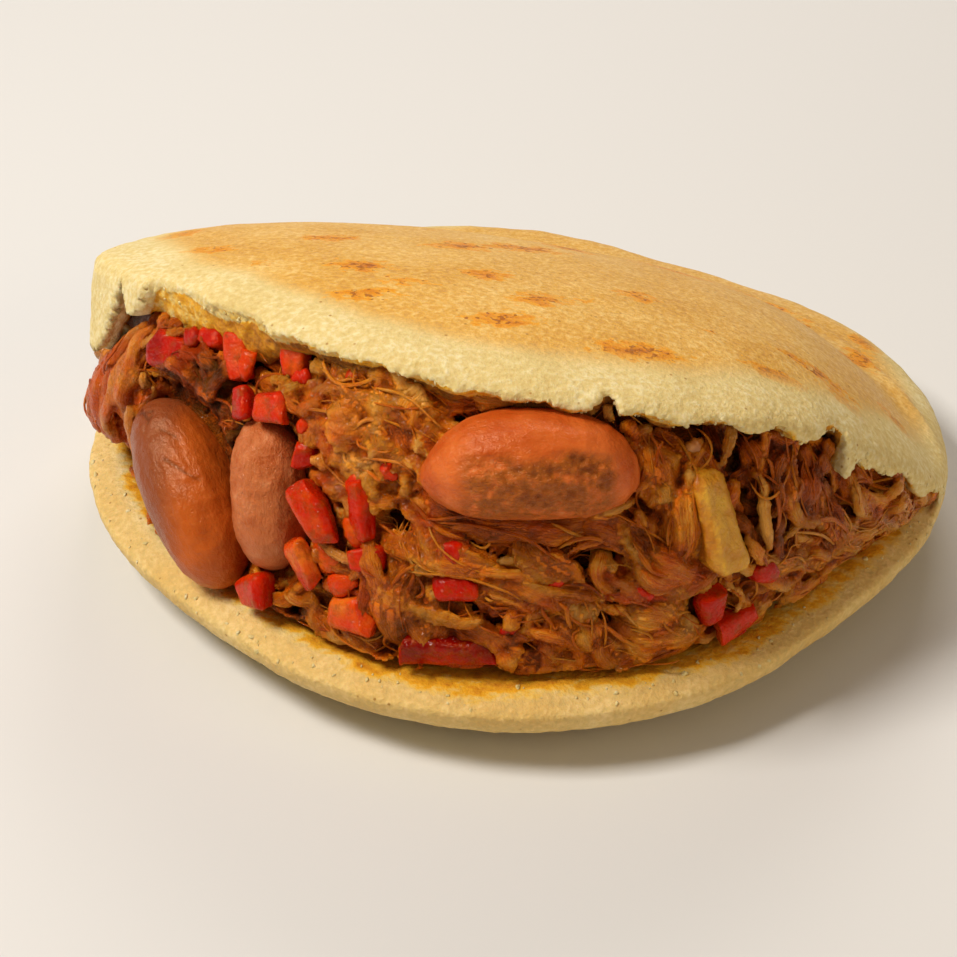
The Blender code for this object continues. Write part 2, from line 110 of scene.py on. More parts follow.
# The crumb that hangs inside the lip, lower than it: direction, half width and by how much.
HANGING_CRUMB = ((216, 13, 6.5), (207, 5, 2.5), (256, 20, 2.6))
CEILING_FROM = 0.78
CEILING_TO = 0.86
CEILING_HANG = 0.8
# The filling is lower where the lip is bitten up in an arch, so that the hanging crumb shows.
ARCH_DIRECTION = 216
ARCH_HALF_WIDTH = 13
HEAP_FOOT = 0.03
HEAP_TOP = 0.97
ARCH_DROP = 0.08
# The left shoulder is rounder than the rest, and the lip below it flares out by this many mm.
SOFT_DIRECTION = 190
SOFT_HALF_WIDTH = 24
SOFTER_BY = 0.3
FLARE = 1.5
# Crumb that fills the fold in the top skin, where the upper half bends down to the joint.
FOLD_FILL = 2.4 * MM
FOLD_AT = 1.6 * MM
FOLD_REACH = 2.6 * MM

# Griddle spots on the top, on the plan: place, half length, half width, heading in degrees and how dark.
SPOTS = (
    (-54, 0, 4.5, 3.2, 60, 0.8), (-48, -18, 3.6, 2.4, 0, 0.7), (-40, -29, 1.6, 1.6, 0, 0.6),
    (-31, -12, 4.4, 3.0, 5, 0.8), (-26, -31, 4.4, 3.4, 0, 0.9), (-26, -43, 5.2, 2.0, 5, 0.75),
    (-21, -38, 2.6, 1.7, 5, 0.5), (-16, -37, 1.6, 1.3, 0, 0.5), (-12, -13, 5.2, 3.6, 15, 0.9),
    (-3, -8, 6.0, 4.0, 20, 0.9), (-9, -31, 3.6, 2.6, 20, 0.9), (-2, -40, 4.2, 3.0, 20, 0.8),
    (-7, -49, 5.2, 2.6, 8, 1.0), (5, -36, 1.9, 1.6, 0, 0.6), (12, -30, 3.4, 2.6, 15, 0.9),
    (11, -52, 7.2, 2.8, 14, 1.0), (22, -38, 1.1, 1.0, 0, 0.5), (30, -45, 5.2, 2.2, 10, 1.0),
    (37, -34, 7.0, 1.8, 8, 0.95), (42, -37, 4.6, 1.6, 8, 0.7), (20, 4, 4.4, 6.0, 60, 0.6),
    (4, 6, 3.4, 5.0, 20, 0.7), (36, 10, 4.0, 11.0, -35, 0.8), (50, 8, 3.0, 7.0, -30, 0.7),
    (55, 22, 3.0, 4.0, 0, 0.8), (51, -22, 3.2, 2.4, 10, 0.85), (60, -2, 2.2, 3.0, 0, 0.7),
    (-30, 22, 6.0, 3.4, 40, 0.8), (-8, 30, 7.0, 4.0, -20, 0.9), (14, 28, 4.0, 3.0, 10, 0.7),
    (-20, 46, 4.4, 3.0, 30, 0.8), (26, 36, 5.4, 3.0, -50, 0.8), (2, 48, 5.0, 3.4, 0, 0.7),
    (-42, 30, 3.0, 2.2, 0, 0.6), (38, 22, 3.0, 2.6, 0, 0.6),
)
UNDER_SPOTS = 42

BODY_SEGMENTS = 330
BODY_ROWS = 64
MOUTH_SHARES = np.concatenate((np.linspace(0, 0.72, 8), np.linspace(0.74, 1, 26)))
BREAD_VOXEL = 0.62 * MM
HIDDEN_SHARE = 0.74
KEPT_HIDDEN = 0.4
KEPT_SMOOTH = 0.355
UNDERSIDE_TO = 4 * MM
TIP_CRUMBS = 240
LOOSE_CRUMBS = 110

# Strands on the heap's face: direction, height share, depth, turn, length, width, curl in degrees, and tone,
# from dark brown at 0 to golden at 1. Lengths in mm.
SHREDS = (
    (192, 0.58, -0.4, -126, 20, 5.0, 20, 0.62), (197, 0.52, 0.0, -120, 21, 5.0, -15, 0.68),
    (202, 0.60, 0.3, -116, 16, 4.4, 10, 0.60), (217, 0.69, 0.2, 13, 14.6, 4.6, 30, 0.04),
    (219, 0.58, 0.2, 3, 12, 4.0, -20, -0.04), (223, 0.50, 0.4, -6, 9, 4.0, 20, 0.0),
    (247, 0.88, -0.2, -9, 18, 5.0, 40, 0.60), (247, 0.76, -0.6, -12, 15.6, 5.4, -30, 0.66),
    (251, 0.84, -0.2, -4, 15, 4.6, 20, 0.58), (247, 0.66, 0.0, -16, 11, 4.2, 30, 0.70),
    (265, 0.40, -0.6, -9, 34, 4.4, -14, 0.45), (266, 0.58, -0.4, -4, 26, 4.8, 12, 0.30),
    (260, 0.42, 0.0, -32, 21, 4.0, 20, 0.50), (268, 0.31, 0.0, -18, 18, 3.8, -20, 0.62),
    (254, 0.24, -0.8, -88, 18, 4.8, 14, 0.34), (258, 0.19, -0.2, -78, 15, 4.4, -16, 0.40),
    (277, 0.20, -0.6, -60, 12, 4.2, 34, 0.60), (288, 0.10, -0.8, -10, 16, 4.4, 40, 0.60),
    (303, 0.08, -0.4, 20, 12, 4.0, 20, 0.64), (287, 0.22, -0.2, -28, 12, 4.0, -30, 0.60),
    (303, 0.74, -0.4, -72, 13, 5.0, 12, 0.34), (307, 0.72, 0.0, -108, 9, 4.2, -14, 0.26),
    (299, 0.80, 0.4, -66, 8.6, 3.4, 16, 0.18), (322, 0.42, -0.6, -10, 30, 4.2, 10, 0.56),
    (318, 0.26, -0.2, -10, 26, 4.0, -14, 0.58), (331, 0.50, 0.2, -2, 24, 3.4, 8, 0.55),
    (228, 0.06, -0.2, 3, 14, 3.4, 10, 0.42), (246, 0.05, -0.4, -2, 18, 3.6, -12, 0.52),
    (277, 0.04, -0.4, -6, 24, 3.6, 12, 0.62), (251, 0.14, 0.0, -9, 10.6, 3.6, 14, 0.40),
    (284, 0.05, -0.2, -28, 13, 3.4, 20, 0.66), (288, 0.62, -0.4, -90, 13, 5.0, 10, 0.48),
    (284, 0.80, 0.0, -76, 9, 4.4, -18, 0.50), (258, 0.95, 0.4, -1, 11, 3.8, 10, 0.45),
    (271, 0.44, -0.2, -41, 12, 4.0, 30, 0.42), (279, 0.58, -0.2, 0, 13, 4.6, -24, 0.35),
    (286, 0.44, -0.6, -30, 13.6, 4.6, 24, 0.48), (306, 0.34, -0.4, -16, 14.6, 4.0, -18, 0.56),
    (238, 0.56, 0.2, 7, 7, 3.6, 10, 0.66), (227, 0.32, 0.2, -80, 12, 4.0, 10, 0.30),
    (210, 0.30, 0.4, -70, 12, 4.4, 10, 0.30), (275, 0.18, -0.2, -38, 9, 3.6, 14, 0.58),
    (265, 0.17, -0.6, -21, 11, 4.0, -20, 0.52), (312, 0.60, 0.4, -60, 9, 4.0, 16, 0.36),
    (184, 0.22, -0.8, 10, 14, 4.2, 12, 0.60), (182, 0.60, 0.6, -100, 14, 4.4, 20, 0.55),
    (175, 0.35, 0.0, 20, 16, 4.4, -16, 0.50), (171, 0.72, 0.2, -150, 12, 4.2, 20, 0.45),
    (163, 0.45, 0.0, 8, 16, 4.2, 14, 0.52), (155, 0.50, 0.0, -12, 14, 4.0, -20, 0.48),
    (147, 0.50, 0.2, 4, 10, 3.6, 10, 0.52),
)

# Places of the heap's face, as direction, height share and reach in mm: dark hollows, stains of red sauce,
# meat that is chopped and not in strands, and meat that is darker than what lies round it.
HOLLOWS = (
    (211, 0.62, 2.5), (221, 0.60, 3.0), (224, 0.10, 3.0), (252, 0.56, 3.0), (266, 0.56, 3.0),
    (272, 0.57, 3.0), (284, 0.84, 3.5), (290, 0.46, 2.5), (296, 0.28, 3.0), (297, 0.68, 3.5),
    (285, 0.16, 2.5), (262, 0.44, 2.0), (264, 0.11, 3.5), (258, 0.12, 3.0), (223, 0.96, 3.0),
    (213, 0.86, 2.5), (243, 0.98, 3.0), (255, 0.93, 3.5), (278, 0.48, 1.8), (305, 0.80, 3.0),
    (306, 0.36, 2.5), (319, 0.44, 2.0), (325, 0.66, 2.0), (274, 0.24, 2.2), (311, 0.92, 3.0),
)
STAINS = (
    (196, 0.55, 15), (215, 0.80, 4), (227, 0.84, 5), (242, 0.70, 7), (242, 0.45, 8), (245, 0.22, 6),
    (248, 0.40, 5), (260, 0.48, 4), (284, 0.36, 4), (261, 0.05, 6), (299, 0.02, 5), (292, 0.36, 3),
)
CHOPPED = ((247, 0.76, 8), (219, 0.60, 7), (240, 0.60, 5))
DARKER = ((218, 0.58, 8), (270, 0.08, 8), (262, 0.10, 6))
FACE_MM_PER_DEGREE = 1.13
FACE_MM_TALL = 34
MASS_EDGES = (232, 270)
MASS_VOXEL = 0.44 * MM
GAP_SOFTENING = 22
CORE_DEPTH = 3.8 * MM
CORE_BACK_GAP = 8 * MM
CORE_CLEAR = 1.7 * MM
SEEDS = 900
# The flap of meat at the left hangs in smooth folds: where it is, what share of loose fibres it has, and how
# many mm it is pressed back as it rises.
FLAP_FROM = 178
FLAP_TO = 206
FLAP_FIBRES = 0.3
FLAP_PRESSED = 2.4
FLAP_MIDDLE = 181
FLAP_HALF_WIDTH = 19
# Strands that only the scene has: the flap's narrower folds, and strands that cross the larger bundles.
MORE_STRANDS = (
    (183, 0.52, 0.2, -90, 18, 3.4, 16, 0.50), (189, 0.48, -0.7, -106, 18, 2.0, -16, 0.64),
    (194, 0.60, -1.0, -94, 16, 3.0, 14, 0.50), (199, 0.50, -1.0, -110, 15, 1.8, -22, 0.66),
    (203, 0.64, -0.8, -102, 13, 2.6, 18, 0.52), (251, 0.30, -1.9, -64, 13, 2.0, 24, 0.34),
    (254, 0.26, -2.2, -30, 12, 1.6, -20, 0.55), (249, 0.20, -1.6, -96, 12, 2.0, 16, 0.26),
    (256, 0.16, -2.0, -48, 11, 1.7, 20, 0.48), (259, 0.24, -2.1, -14, 14, 1.6, 12, 0.58),
    (215, 0.66, -0.6, -30, 9, 1.8, 20, 0.10), (221, 0.56, -0.6, 24, 9, 1.6, -20, 0.06),
    (218, 0.48, -0.4, -60, 8, 1.8, 20, 0.02), (212, 0.58, -0.4, -80, 9, 1.6, 20, 0.16),
)
# The palest tone that meat has, and how many strands, bits and fibres are drawn to lie over the bundles.
MOST_GOLDEN = 0.74
TEASED = 520
CHOPPED_BITS = 620
SURFACE_FIBRES = 480
LOOSE_FIBRES = 110
# How much darker meat gets in the dark places, and down in the sauce.
DARKER_BY = 0.2
DARKER_IN_SAUCE = 0.12
# Meat is tucked in round the sausages: how far behind their middles it lies in mm, how fast it rises beside
# them, and how far out the trough round them goes, in half widths.
TUCKED_TO = -1.2
TROUGH_SLOPE = 20
TROUGH_END = 1.22
SAUSAGE_VOXEL = 0.34 * MM

# Sausage chunks as the solids have them: centre, heading and climb in degrees, length and width, in mm.
SAUSAGES = {
    "sausage_left": ((-45.6, -32.4, 23.0), 119, 36, 29.0, 14.0),
    "sausage_middle": ((-33.8, -41.2, 28.6), 97, 70, 22.0, 10.8),
    "sausage_right": ((1.0, -54.5, 42.0), 3, 0, 30.0, 15.0),
}

# The photograph's view: 33 degrees above the table, with the object right of and above the picture's middle.
ELEVATION = math.radians(33)
DISTANCE = 420 * MM
TARGET = Vector((-0.15, 0.64, 13.5)) * MM
LENS = 104.35
SENSOR = 36
SHIFT = (-0.0402, -0.0559)


def linear(code):
    """A colour written in sRGB as the linear values a shader takes."""
    parts = [int(code[at : at + 2], 16) / 255 for at in (0, 2, 4)]
    return (*(part / 12.92 if part <= 0.04045 else ((part + 0.055) / 1.055) ** 2.4 for part in parts), 1)


def near(angle, direction, half_width):
    """1 in this direction, falling away smoothly on both sides of it."""
    off = (np.degrees(angle) - direction + 180) % 360 - 180
    return np.exp(-((off / half_width) ** 2))


def smooth_step(low, high, value):
    """0 at low, 1 at high and smooth between them; low may be the larger."""
    share = np.clip((value - low) / (high - low), 0, 1)
    return share * share * (3 - 2 * share)


def grain(points, size, seed=0):
    """Smooth noise at each point, about -1 to 1, with lumps of this size."""
    shift = np.array((17.3, -9.1, 5.7)) * seed
    return np.array([noise.noise(row) for row in (points / size + shift).tolist()])


def plan_grain(x, y, size, seed=0, height=0.0):
    """Smooth noise over points of the plan, as it is at this height."""
    flat = np.stack((x, y, np.full_like(x, height)), axis=-1)
    return grain(flat.reshape(-1, 3), size, seed).reshape(x.shape)


def lumps(points, size, seed=0):
    """Rounded lumps of this size, 1 at their middles and about 0 between them."""
    shift = np.array((3.1, 11.9, -7.3)) * seed
    return 1 - np.array([noise.voronoi(row)[0][0] for row in (points / size + shift).tolist()])


# The bread's form, worked out for whole arrays of points.


def plan_reach(angle):
    """The plan's outline: 1 on a round, less along its flatter stretches."""
    reach = np.ones_like(angle)
    for direction, half_width, missing in FLAT_STRETCHES:
        reach -= missing * near(angle, direction, half_width)
    return reach


def plan_point(angle, share):
    """The point of the plan in this direction, this share of the way out to the edge."""
    reach = plan_reach(angle) * share
    return HALF_WIDTH * reach * np.cos(angle), HALF_DEPTH * reach * np.sin(angle)


def lift(x, y):
    """How far the upper half has risen over this point of the plan."""
    to_back = BACK_HINGE - x * math.cos(BACK_DIRECTION) - y * math.sin(BACK_DIRECTION)
    to_side = SIDE_HINGE - x * math.cos(SIDE_DIRECTION) - y * math.sin(SIDE_DIRECTION)
    back, side = BACK_SLOPE * to_back / FOLD_RADIUS, SIDE_SLOPE * to_side / FOLD_RADIUS
    folded = -FOLD_RADIUS * np.logaddexp(-back, -side)
    folded = folded - DROOP_X * (x / HALF_WIDTH) ** 2 - DROOP_Y * (y / HALF_WIDTH) ** 2
    return HINGE_RADIUS * np.logaddexp(0, folded / HINGE_RADIUS)


def split_surface(x, y):
    """Where a point of the split is on the opened upper half, and which way is up from it there."""
    rise = lift(x, y)
    slope_x = (lift(x + SLOPE_STEP, y) - lift(x - SLOPE_STEP, y)) / (2 * SLOPE_STEP)
    slope_y = (lift(x, y + SLOPE_STEP) - lift(x, y - SLOPE_STEP)) / (2 * SLOPE_STEP)
    normal = np.stack((-slope_x, -slope_y, np.ones_like(slope_x)), axis=-1)
    normal /= np.linalg.norm(normal, axis=-1, keepdims=True)
    back = SET_BACK * rise
    foot = (x + back * math.cos(BACK_DIRECTION), y + back * math.sin(BACK_DIRECTION), LOWER_HALF + rise)
    return np.stack(foot, axis=-1), normal


def opened(x, y, above):
    """Where a point of the shut upper half goes as it opens."""
    foot, normal = split_surface(x, y)
    return foot + normal * np.asarray(above)[..., None]


def shut_place(points):
    """The place that each point of the opened upper half has while shut: x, y and height over the split."""
    x, y = points[:, 0].copy(), points[:, 1].copy()
    for _ in range(8):
        foot, normal = split_surface(x, y)
        above = ((points - foot) * normal).sum(axis=1)
        miss = points - foot - normal * above[:, None]
        x += miss[:, 0]
        y += miss[:, 1]
    return x, y, above


def upper_thickness(angle, share):
    """The upper half's thickness: thinner over the joint."""
    return UPPER_HALF - THINNER_BY * near(angle, THIN_DIRECTION, THIN_HALF_WIDTH) * share**2


def upper_roundness(angle):
    """How square the upper half's edge is: rounder at the left shoulder."""
    return UPPER_ROUNDNESS - SOFTER_BY * near(angle, SOFT_DIRECTION, SOFT_HALF_WIDTH)


def upper_crust(angle, share):
    """How high over the split the outer skin of the upper half is."""
    power = upper_roundness(angle)
    return upper_thickness(angle, share) * np.maximum(0, 1 - np.minimum(share, 1) ** power) ** (1 / power)


def pocket_floor(angle, share, clear=0.0):
    """The crumb of the lower half: a shallow dish that falls away at the lip."""
    x, y = plan_point(angle, share)
    dish = DISH_RIM * share**4 - LIP_DROP * smooth_step(LIP_FROM, LIP_TO, share)
    bumps = FLOOR_RELIEF * plan_grain(x, y, CRUMB_GRAIN)
    return np.stack((x, y, LOWER_HALF - FLOOR_DROP + dish + bumps + clear), axis=-1)


def lip_height(angle, rows):
    """How far these tears move the lip up or down in each direction."""
    total = np.zeros_like(angle)
    for direction, half_width, height in rows:
        total += height * MM * near(angle, direction, half_width)
    return total


def pocket_roof(angle, share, clear=0.0, crumb=0.0):
    """The crumb of the upper half, hollow inside and torn at the lip."""
    x, y = plan_point(angle, share)
    hollow = CRUMB_HOLLOW * (1 - smooth_step(HOLLOW_FROM, HOLLOW_TO, share))
    bumps = ROOF_RELIEF * plan_grain(x, y, CRUMB_GRAIN, height=ROOF_NOISE_HEIGHT)
    tears = lip_height(angle, LIP_TEARS) * smooth_step(TEARS_FROM, HOLLOW_TO, share)
    return opened(x, y, hollow + bumps + tears + crumb - clear)


def pocket_reach(angle):
    """How far out the pocket goes: past the rim where it is open, and short of the joint elsewhere."""
    rim_lift = lift(*plan_point(angle, 1))
    reach = 1 + PAST_RIM * smooth_step(HINGE_LEAST, 3 * HINGE_LEAST, rim_lift)
    shares = np.arange(1.0, 0.5, -0.01)
    along = lift(*plan_point(angle[..., None], shares))
    first = shares[np.argmax(along >= HINGE_LEAST, axis=-1)]
    return np.where(rim_lift > HINGE_LEAST, reach, first)


def face_share(angle, height):
    """How far out the heap's face is at this height."""
    belly = FACE_BELLY + BULGE * near(angle, BULGE_DIRECTION, BULGE_HALF_WIDTH)
    return FACE_FOOT + FACE_LEAN * height + belly * np.sin(math.pi * height)


# The heap's face as a grid of points, so that anything can be laid on it by direction, height and depth.

GRID_ANGLES = np.arange(120.0, 361.0, 1.0)
GRID_HEIGHTS = np.linspace(-0.04, 1.04, 28)


def face_grid():
    """The face's points and outward directions, its length per degree and its height in each direction."""
    angle, height = np.meshgrid(np.radians(GRID_ANGLES), GRID_HEIGHTS, indexing="ij")
    share = np.minimum(face_share(angle, height), pocket_reach(angle) - HINGE_GAP / HALF_WIDTH)
    floor, roof = pocket_floor(angle, share, HEAP_GAP), pocket_roof(angle, share, HEAP_GAP)
    points = floor + (roof - floor) * height[..., None]
    along = np.gradient(points, axis=0)
    rise = np.gradient(points, axis=1)
    out = np.cross(along, rise)
    out /= np.linalg.norm(out, axis=-1, keepdims=True)
    rim = np.linalg.norm(along, axis=-1)
    tall = np.linalg.norm(points[:, -1] - points[:, 0], axis=-1) / (GRID_HEIGHTS[-1] - GRID_HEIGHTS[0])
    return points, out, rim, tall


FACE, FACE_OUT, FACE_RIM, FACE_TALL = face_grid()


def from_grid(values, angle, height):
    """Reads a grid of values between its points: angle in degrees, height as a share."""
    at = np.clip((angle - GRID_ANGLES[0]) / (GRID_ANGLES[1] - GRID_ANGLES[0]), 0, len(GRID_ANGLES) - 1.001)
    up = np.clip(
        (height - GRID_HEIGHTS[0]) / (GRID_HEIGHTS[1] - GRID_HEIGHTS[0]), 0, len(GRID_HEIGHTS) - 1.001
    )
    i, j = at.astype(int), up.astype(int)
    a, b = (at - i)[..., None], (up - j)[..., None]
    low = values[i, j] * (1 - a) + values[i + 1, j] * a
    high = values[i, j + 1] * (1 - a) + values[i + 1, j + 1] * a
    return low * (1 - b) + high * b


def on_face(direction, height, flat):
    """Places flat points (along, up, out, in mm) round this place of the heap's face."""
    start = np.array(float(direction)), np.array(float(height))
    rim = from_grid(FACE_RIM[..., None], *start)[0]
    tall = np.interp(direction, GRID_ANGLES, FACE_TALL)
    angle = direction + flat[:, 0] * MM / rim
    up = height + flat[:, 1] * MM / tall
    pressed = 0.8 * smooth_step(0.05, 0.35, up) + 0.4 * smooth_step(0.6, 0.9, up)
    pressed = near(np.radians(angle), FLAP_MIDDLE, FLAP_HALF_WIDTH) * pressed
    out = (flat[:, 2] - FLAP_PRESSED * pressed) * MM
    top = HEAP_TOP - ARCH_DROP * near(np.radians(angle), ARCH_DIRECTION, ARCH_HALF_WIDTH)
    over = np.maximum(0, up - top) * tall
    under = np.maximum(0, HEAP_FOOT - up) * tall
    up = np.clip(up, HEAP_FOOT, top)
    out = out - over + 0.7 * under
    points = from_grid(FACE, angle, up) + from_grid(FACE_OUT, angle, up) * out[:, None]
    points[:, 2] += 0.25 * under
    return points


# Making and finishing pieces.


def link(name, mesh):
    """A new object in the scene."""
    piece = bpy.data.objects.new(name, mesh)
    bpy.context.scene.collection.objects.link(piece)
    return piece


def coordinates(mesh):
    """Every point of a mesh."""
    flat = np.empty(3 * len(mesh.vertices))
    mesh.vertices.foreach_get("co", flat)
    return flat.reshape(-1, 3)


def normals(mesh):
    """Which way is out at every point of a mesh."""
    flat = np.empty(3 * len(mesh.vertices))
    mesh.vertex_normals.foreach_get("vector", flat)
    return flat.reshape(-1, 3)


def place(mesh, points):
    """Moves every point of a mesh to its new place."""
    mesh.vertices.foreach_set("co", points.ravel())
    mesh.update()


def pushed(points, out, shove):
    """The points, each moved outwards by this many mm."""
    return points + out * (shove * MM)[:, None]


def faced_out(mesh):
    """Turns a closed mesh right side out."""
    bm = bmesh.new()
    bm.from_mesh(mesh)
    if bm.calc_volume(signed=True) < 0:
        bmesh.ops.reverse_faces(bm, faces=bm.faces)
        bm.to_mesh(mesh)
    bm.free()


def gathered(name, points, faces, size):
    """One mesh of many closed shapes that have the same faces and this many points each."""
    every = np.concatenate([faces + first for first in range(0, len(points), size)])
    made = bpy.data.meshes.new(name)
    made.from_pydata(points.tolist(), [], every.tolist())
    return made


def paint(mesh, name, values):
    """Keeps one value, or one vector, for each point of a mesh, for its material to read."""
    if values.ndim == 1:
        mesh.attributes.new(name, "FLOAT", "POINT").data.foreach_set("value", values.astype(np.float32))
    else:
        mesh.attributes.new(name, "FLOAT_VECTOR", "POINT").data.foreach_set(
            "vector", values.astype(np.float32).ravel()
        )


def applied(piece):
    """Makes a piece's modifiers part of its mesh."""
    bpy.context.view_layer.update()
    shaped = piece.evaluated_get(bpy.context.evaluated_depsgraph_get())
    old = piece.data
    piece.data = bpy.data.meshes.new_from_object(shaped)
    piece.modifiers.clear()
    bpy.data.meshes.remove(old)
    return piece


def modify(piece, kind, **settings):
    """Gives a piece a modifier with these settings."""
    change = piece.modifiers.new(kind.lower(), kind)
    for key, value in settings.items():
        setattr(change, key, value)
    return change


def finish_piece(piece, material, slot, *nodes):
    """Gives a piece its material, its place in the frame and the nodes that it stands for."""
    piece.data.materials.clear()
    piece.data.materials.append(material)
    piece.data.shade_smooth()
    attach(piece, "root")
    if nodes:
        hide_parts(*nodes)


def sphere_mesh(name, segments, rings, shape):
    """A closed mesh: a sphere whose points are placed by shape(angle, elevation)."""
    bm = bmesh.new()
    bmesh.ops.create_uvsphere(bm, u_segments=segments, v_segments=rings, radius=1)
    mesh = bpy.data.meshes.new(name)
    bm.to_mesh(mesh)
    bm.free()
    unit = coordinates(mesh)
    points = shape(np.arctan2(unit[:, 1], unit[:, 0]), np.arcsin(np.clip(unit[:, 2], -1, 1)))
    place(mesh, points + CENTRING)
    faced_out(mesh)
    return mesh


# Corn bread.


def ragged_crumb(angle, share):
    """How the torn crumb of the ceiling and of the upper lip runs up and down, in lumps of several sizes."""
    here, rim = plan_point(angle, share), plan_point(angle, np.ones_like(share))
    rough = 0.15 * plan_grain(*rim, 6 * MM, 3) + 0.2 * plan_grain(*rim, 2.2 * MM, 4)
    rough += 0.42 * plan_grain(*rim, 1.1 * MM, 5)
    lumpy = 0.8 * plan_grain(*here, 5 * MM, 3) + 0.7 * plan_grain(*here, 2 * MM, 4)
    at_lip = smooth_step(BITES_FROM, BITES_TO, share)
    inside = smooth_step(CEILING_FROM, CEILING_TO, share) * (1 - at_lip)
    hang = (CEILING_HANG + lumpy) * MM + lip_height(angle, HANGING_CRUMB)
    return at_lip * (lip_height(angle, LIP_BITES) + rough * MM) - inside * hang


def body_shape(angle, elevation):
    """The whole bread's skin: the upper half above the sphere's first row, the lower half below it."""
    step = math.pi / BODY_ROWS
    upper = elevation > step / 2
    raised = (elevation - step) * (math.pi / 2) / (math.pi / 2 - step)
    elevation = np.where(upper, raised, elevation)
    power = np.where(upper, 2 / upper_roundness(angle), 2 / LOWER_ROUNDNESS)
    share, height = np.abs(np.cos(elevation)) ** power, np.abs(np.sin(elevation)) ** power
    x, y = plan_point(angle, share)
    fill = FOLD_FILL * np.exp(-(((lift(x, y) - FOLD_AT) / FOLD_REACH) ** 2)) * smooth_step(0, 0.5, height)
    top = opened(x, y, upper_thickness(angle, share) * height + fill)
    low = np.stack((x, y, np.maximum(0, LOWER_HALF - (LOWER_HALF + UNDERSIDE_SAG) * height)), axis=-1)
    return np.where(upper[:, None], top, low)


def mouth_shape(angle, elevation):
    """The hollow between the halves, which is cut out of the bread."""
    rows = len(MOUTH_SHARES) - 1
    row = rows - np.rint(np.abs(elevation) * rows / (math.pi / 2)).astype(int)
    share = MOUTH_SHARES[row] * pocket_reach(angle)
    floor, roof = pocket_floor(angle, share), pocket_roof(angle, share, crumb=ragged_crumb(angle, share))
    inside = np.where((elevation > 0)[:, None], roof, floor)
    return np.where((row == rows)[:, None], (floor + roof) / 2, inside)


def spot_field(x, y, rows):
    """How far inside the nearest griddle spot each point is: 1 at a dark spot's middle, 0 at its edge."""
    best = np.full_like(x, -1.0)
    for middle_x, middle_y, half_long, half_short, heading, dark in rows:
        turn = math.radians(heading)
        dx, dy = x / MM - middle_x, y / MM - middle_y
        along = (dx * math.cos(turn) + dy * math.sin(turn)) / half_long
        across = (dy * math.cos(turn) - dx * math.sin(turn)) / half_short
        best = np.maximum(best, dark * (1 - np.hypot(along, across)))
    return best


def under_spots():
    """Spots under the bread, where it lay on the griddle first."""
    draw = random.Random(5)
    rows = []
    for _ in range(UNDER_SPOTS):
        reach, angle = 50 * math.sqrt(draw.random()), draw.uniform(0, 2 * math.pi)
        long = draw.uniform(2.0, 7.5)
        rows.append(
            (reach * math.cos(angle), reach * math.sin(angle), long, long * draw.uniform(0.4, 0.9),
             draw.uniform(0, 180), draw.uniform(0.5, 1.0))
        )
    return rows


def places_on_bread(mesh):
    """Where each point of the bread is: its half, direction, share of the way out, height over the split."""
    points, out = coordinates(mesh) - CENTRING, normals(mesh)
    x, y, above = shut_place(points)
    angle = np.arctan2(y / HALF_DEPTH, x / HALF_WIDTH)
    share = np.hypot(x / HALF_WIDTH, y / HALF_DEPTH) / plan_reach(angle)
    low_angle = np.arctan2(points[:, 1] / HALF_DEPTH, points[:, 0] / HALF_WIDTH)
    low_share = np.hypot(points[:, 0] / HALF_WIDTH, points[:, 1] / HALF_DEPTH) / plan_reach(low_angle)
    upper = points[:, 2] > LOWER_HALF + 0.35 * lift(x, y)
    inner = upper & (above < upper_crust(angle, share) - 0.7 * MM) & (share < 0.972) & (lift(x, y) > 2 * MM)
    opening = smooth_step(1 * MM, 4 * MM, lift(points[:, 0], points[:, 1]))
    floor = ~upper & (out[:, 2] > 0.2) & (points[:, 2] > 5.5 * MM) & (opening > 0.1)
    edge = np.where(upper, (share > 0.88) & (above < 2.2 * MM), (low_share > 0.9) & (points[:, 2] > 6 * MM))
    edge = edge & (points[:, 1] < 20 * MM) & (opening > 0.3)
    facing = (out * split_surface(x, y)[1]).sum(axis=1)
    return SimpleNamespace(
        points=points, out=out, x=x, y=y, above=above, angle=angle, share=share, low_angle=low_angle,
        low_share=low_share, upper=upper, inner=inner, floor=floor, edge=edge, facing=facing,
    )


def finer(mesh, wanted):
    """Cuts the faces whose corners are all in the wanted places into four."""
    bm = bmesh.new()
    bm.from_mesh(mesh)
    edges = [edge for edge in bm.edges if wanted[edge.verts[0].index] and wanted[edge.verts[1].index]]
    bmesh.ops.subdivide_edges(bm, edges=edges, cuts=1, use_grid_fill=True)
    bm.to_mesh(mesh)
    bm.free()


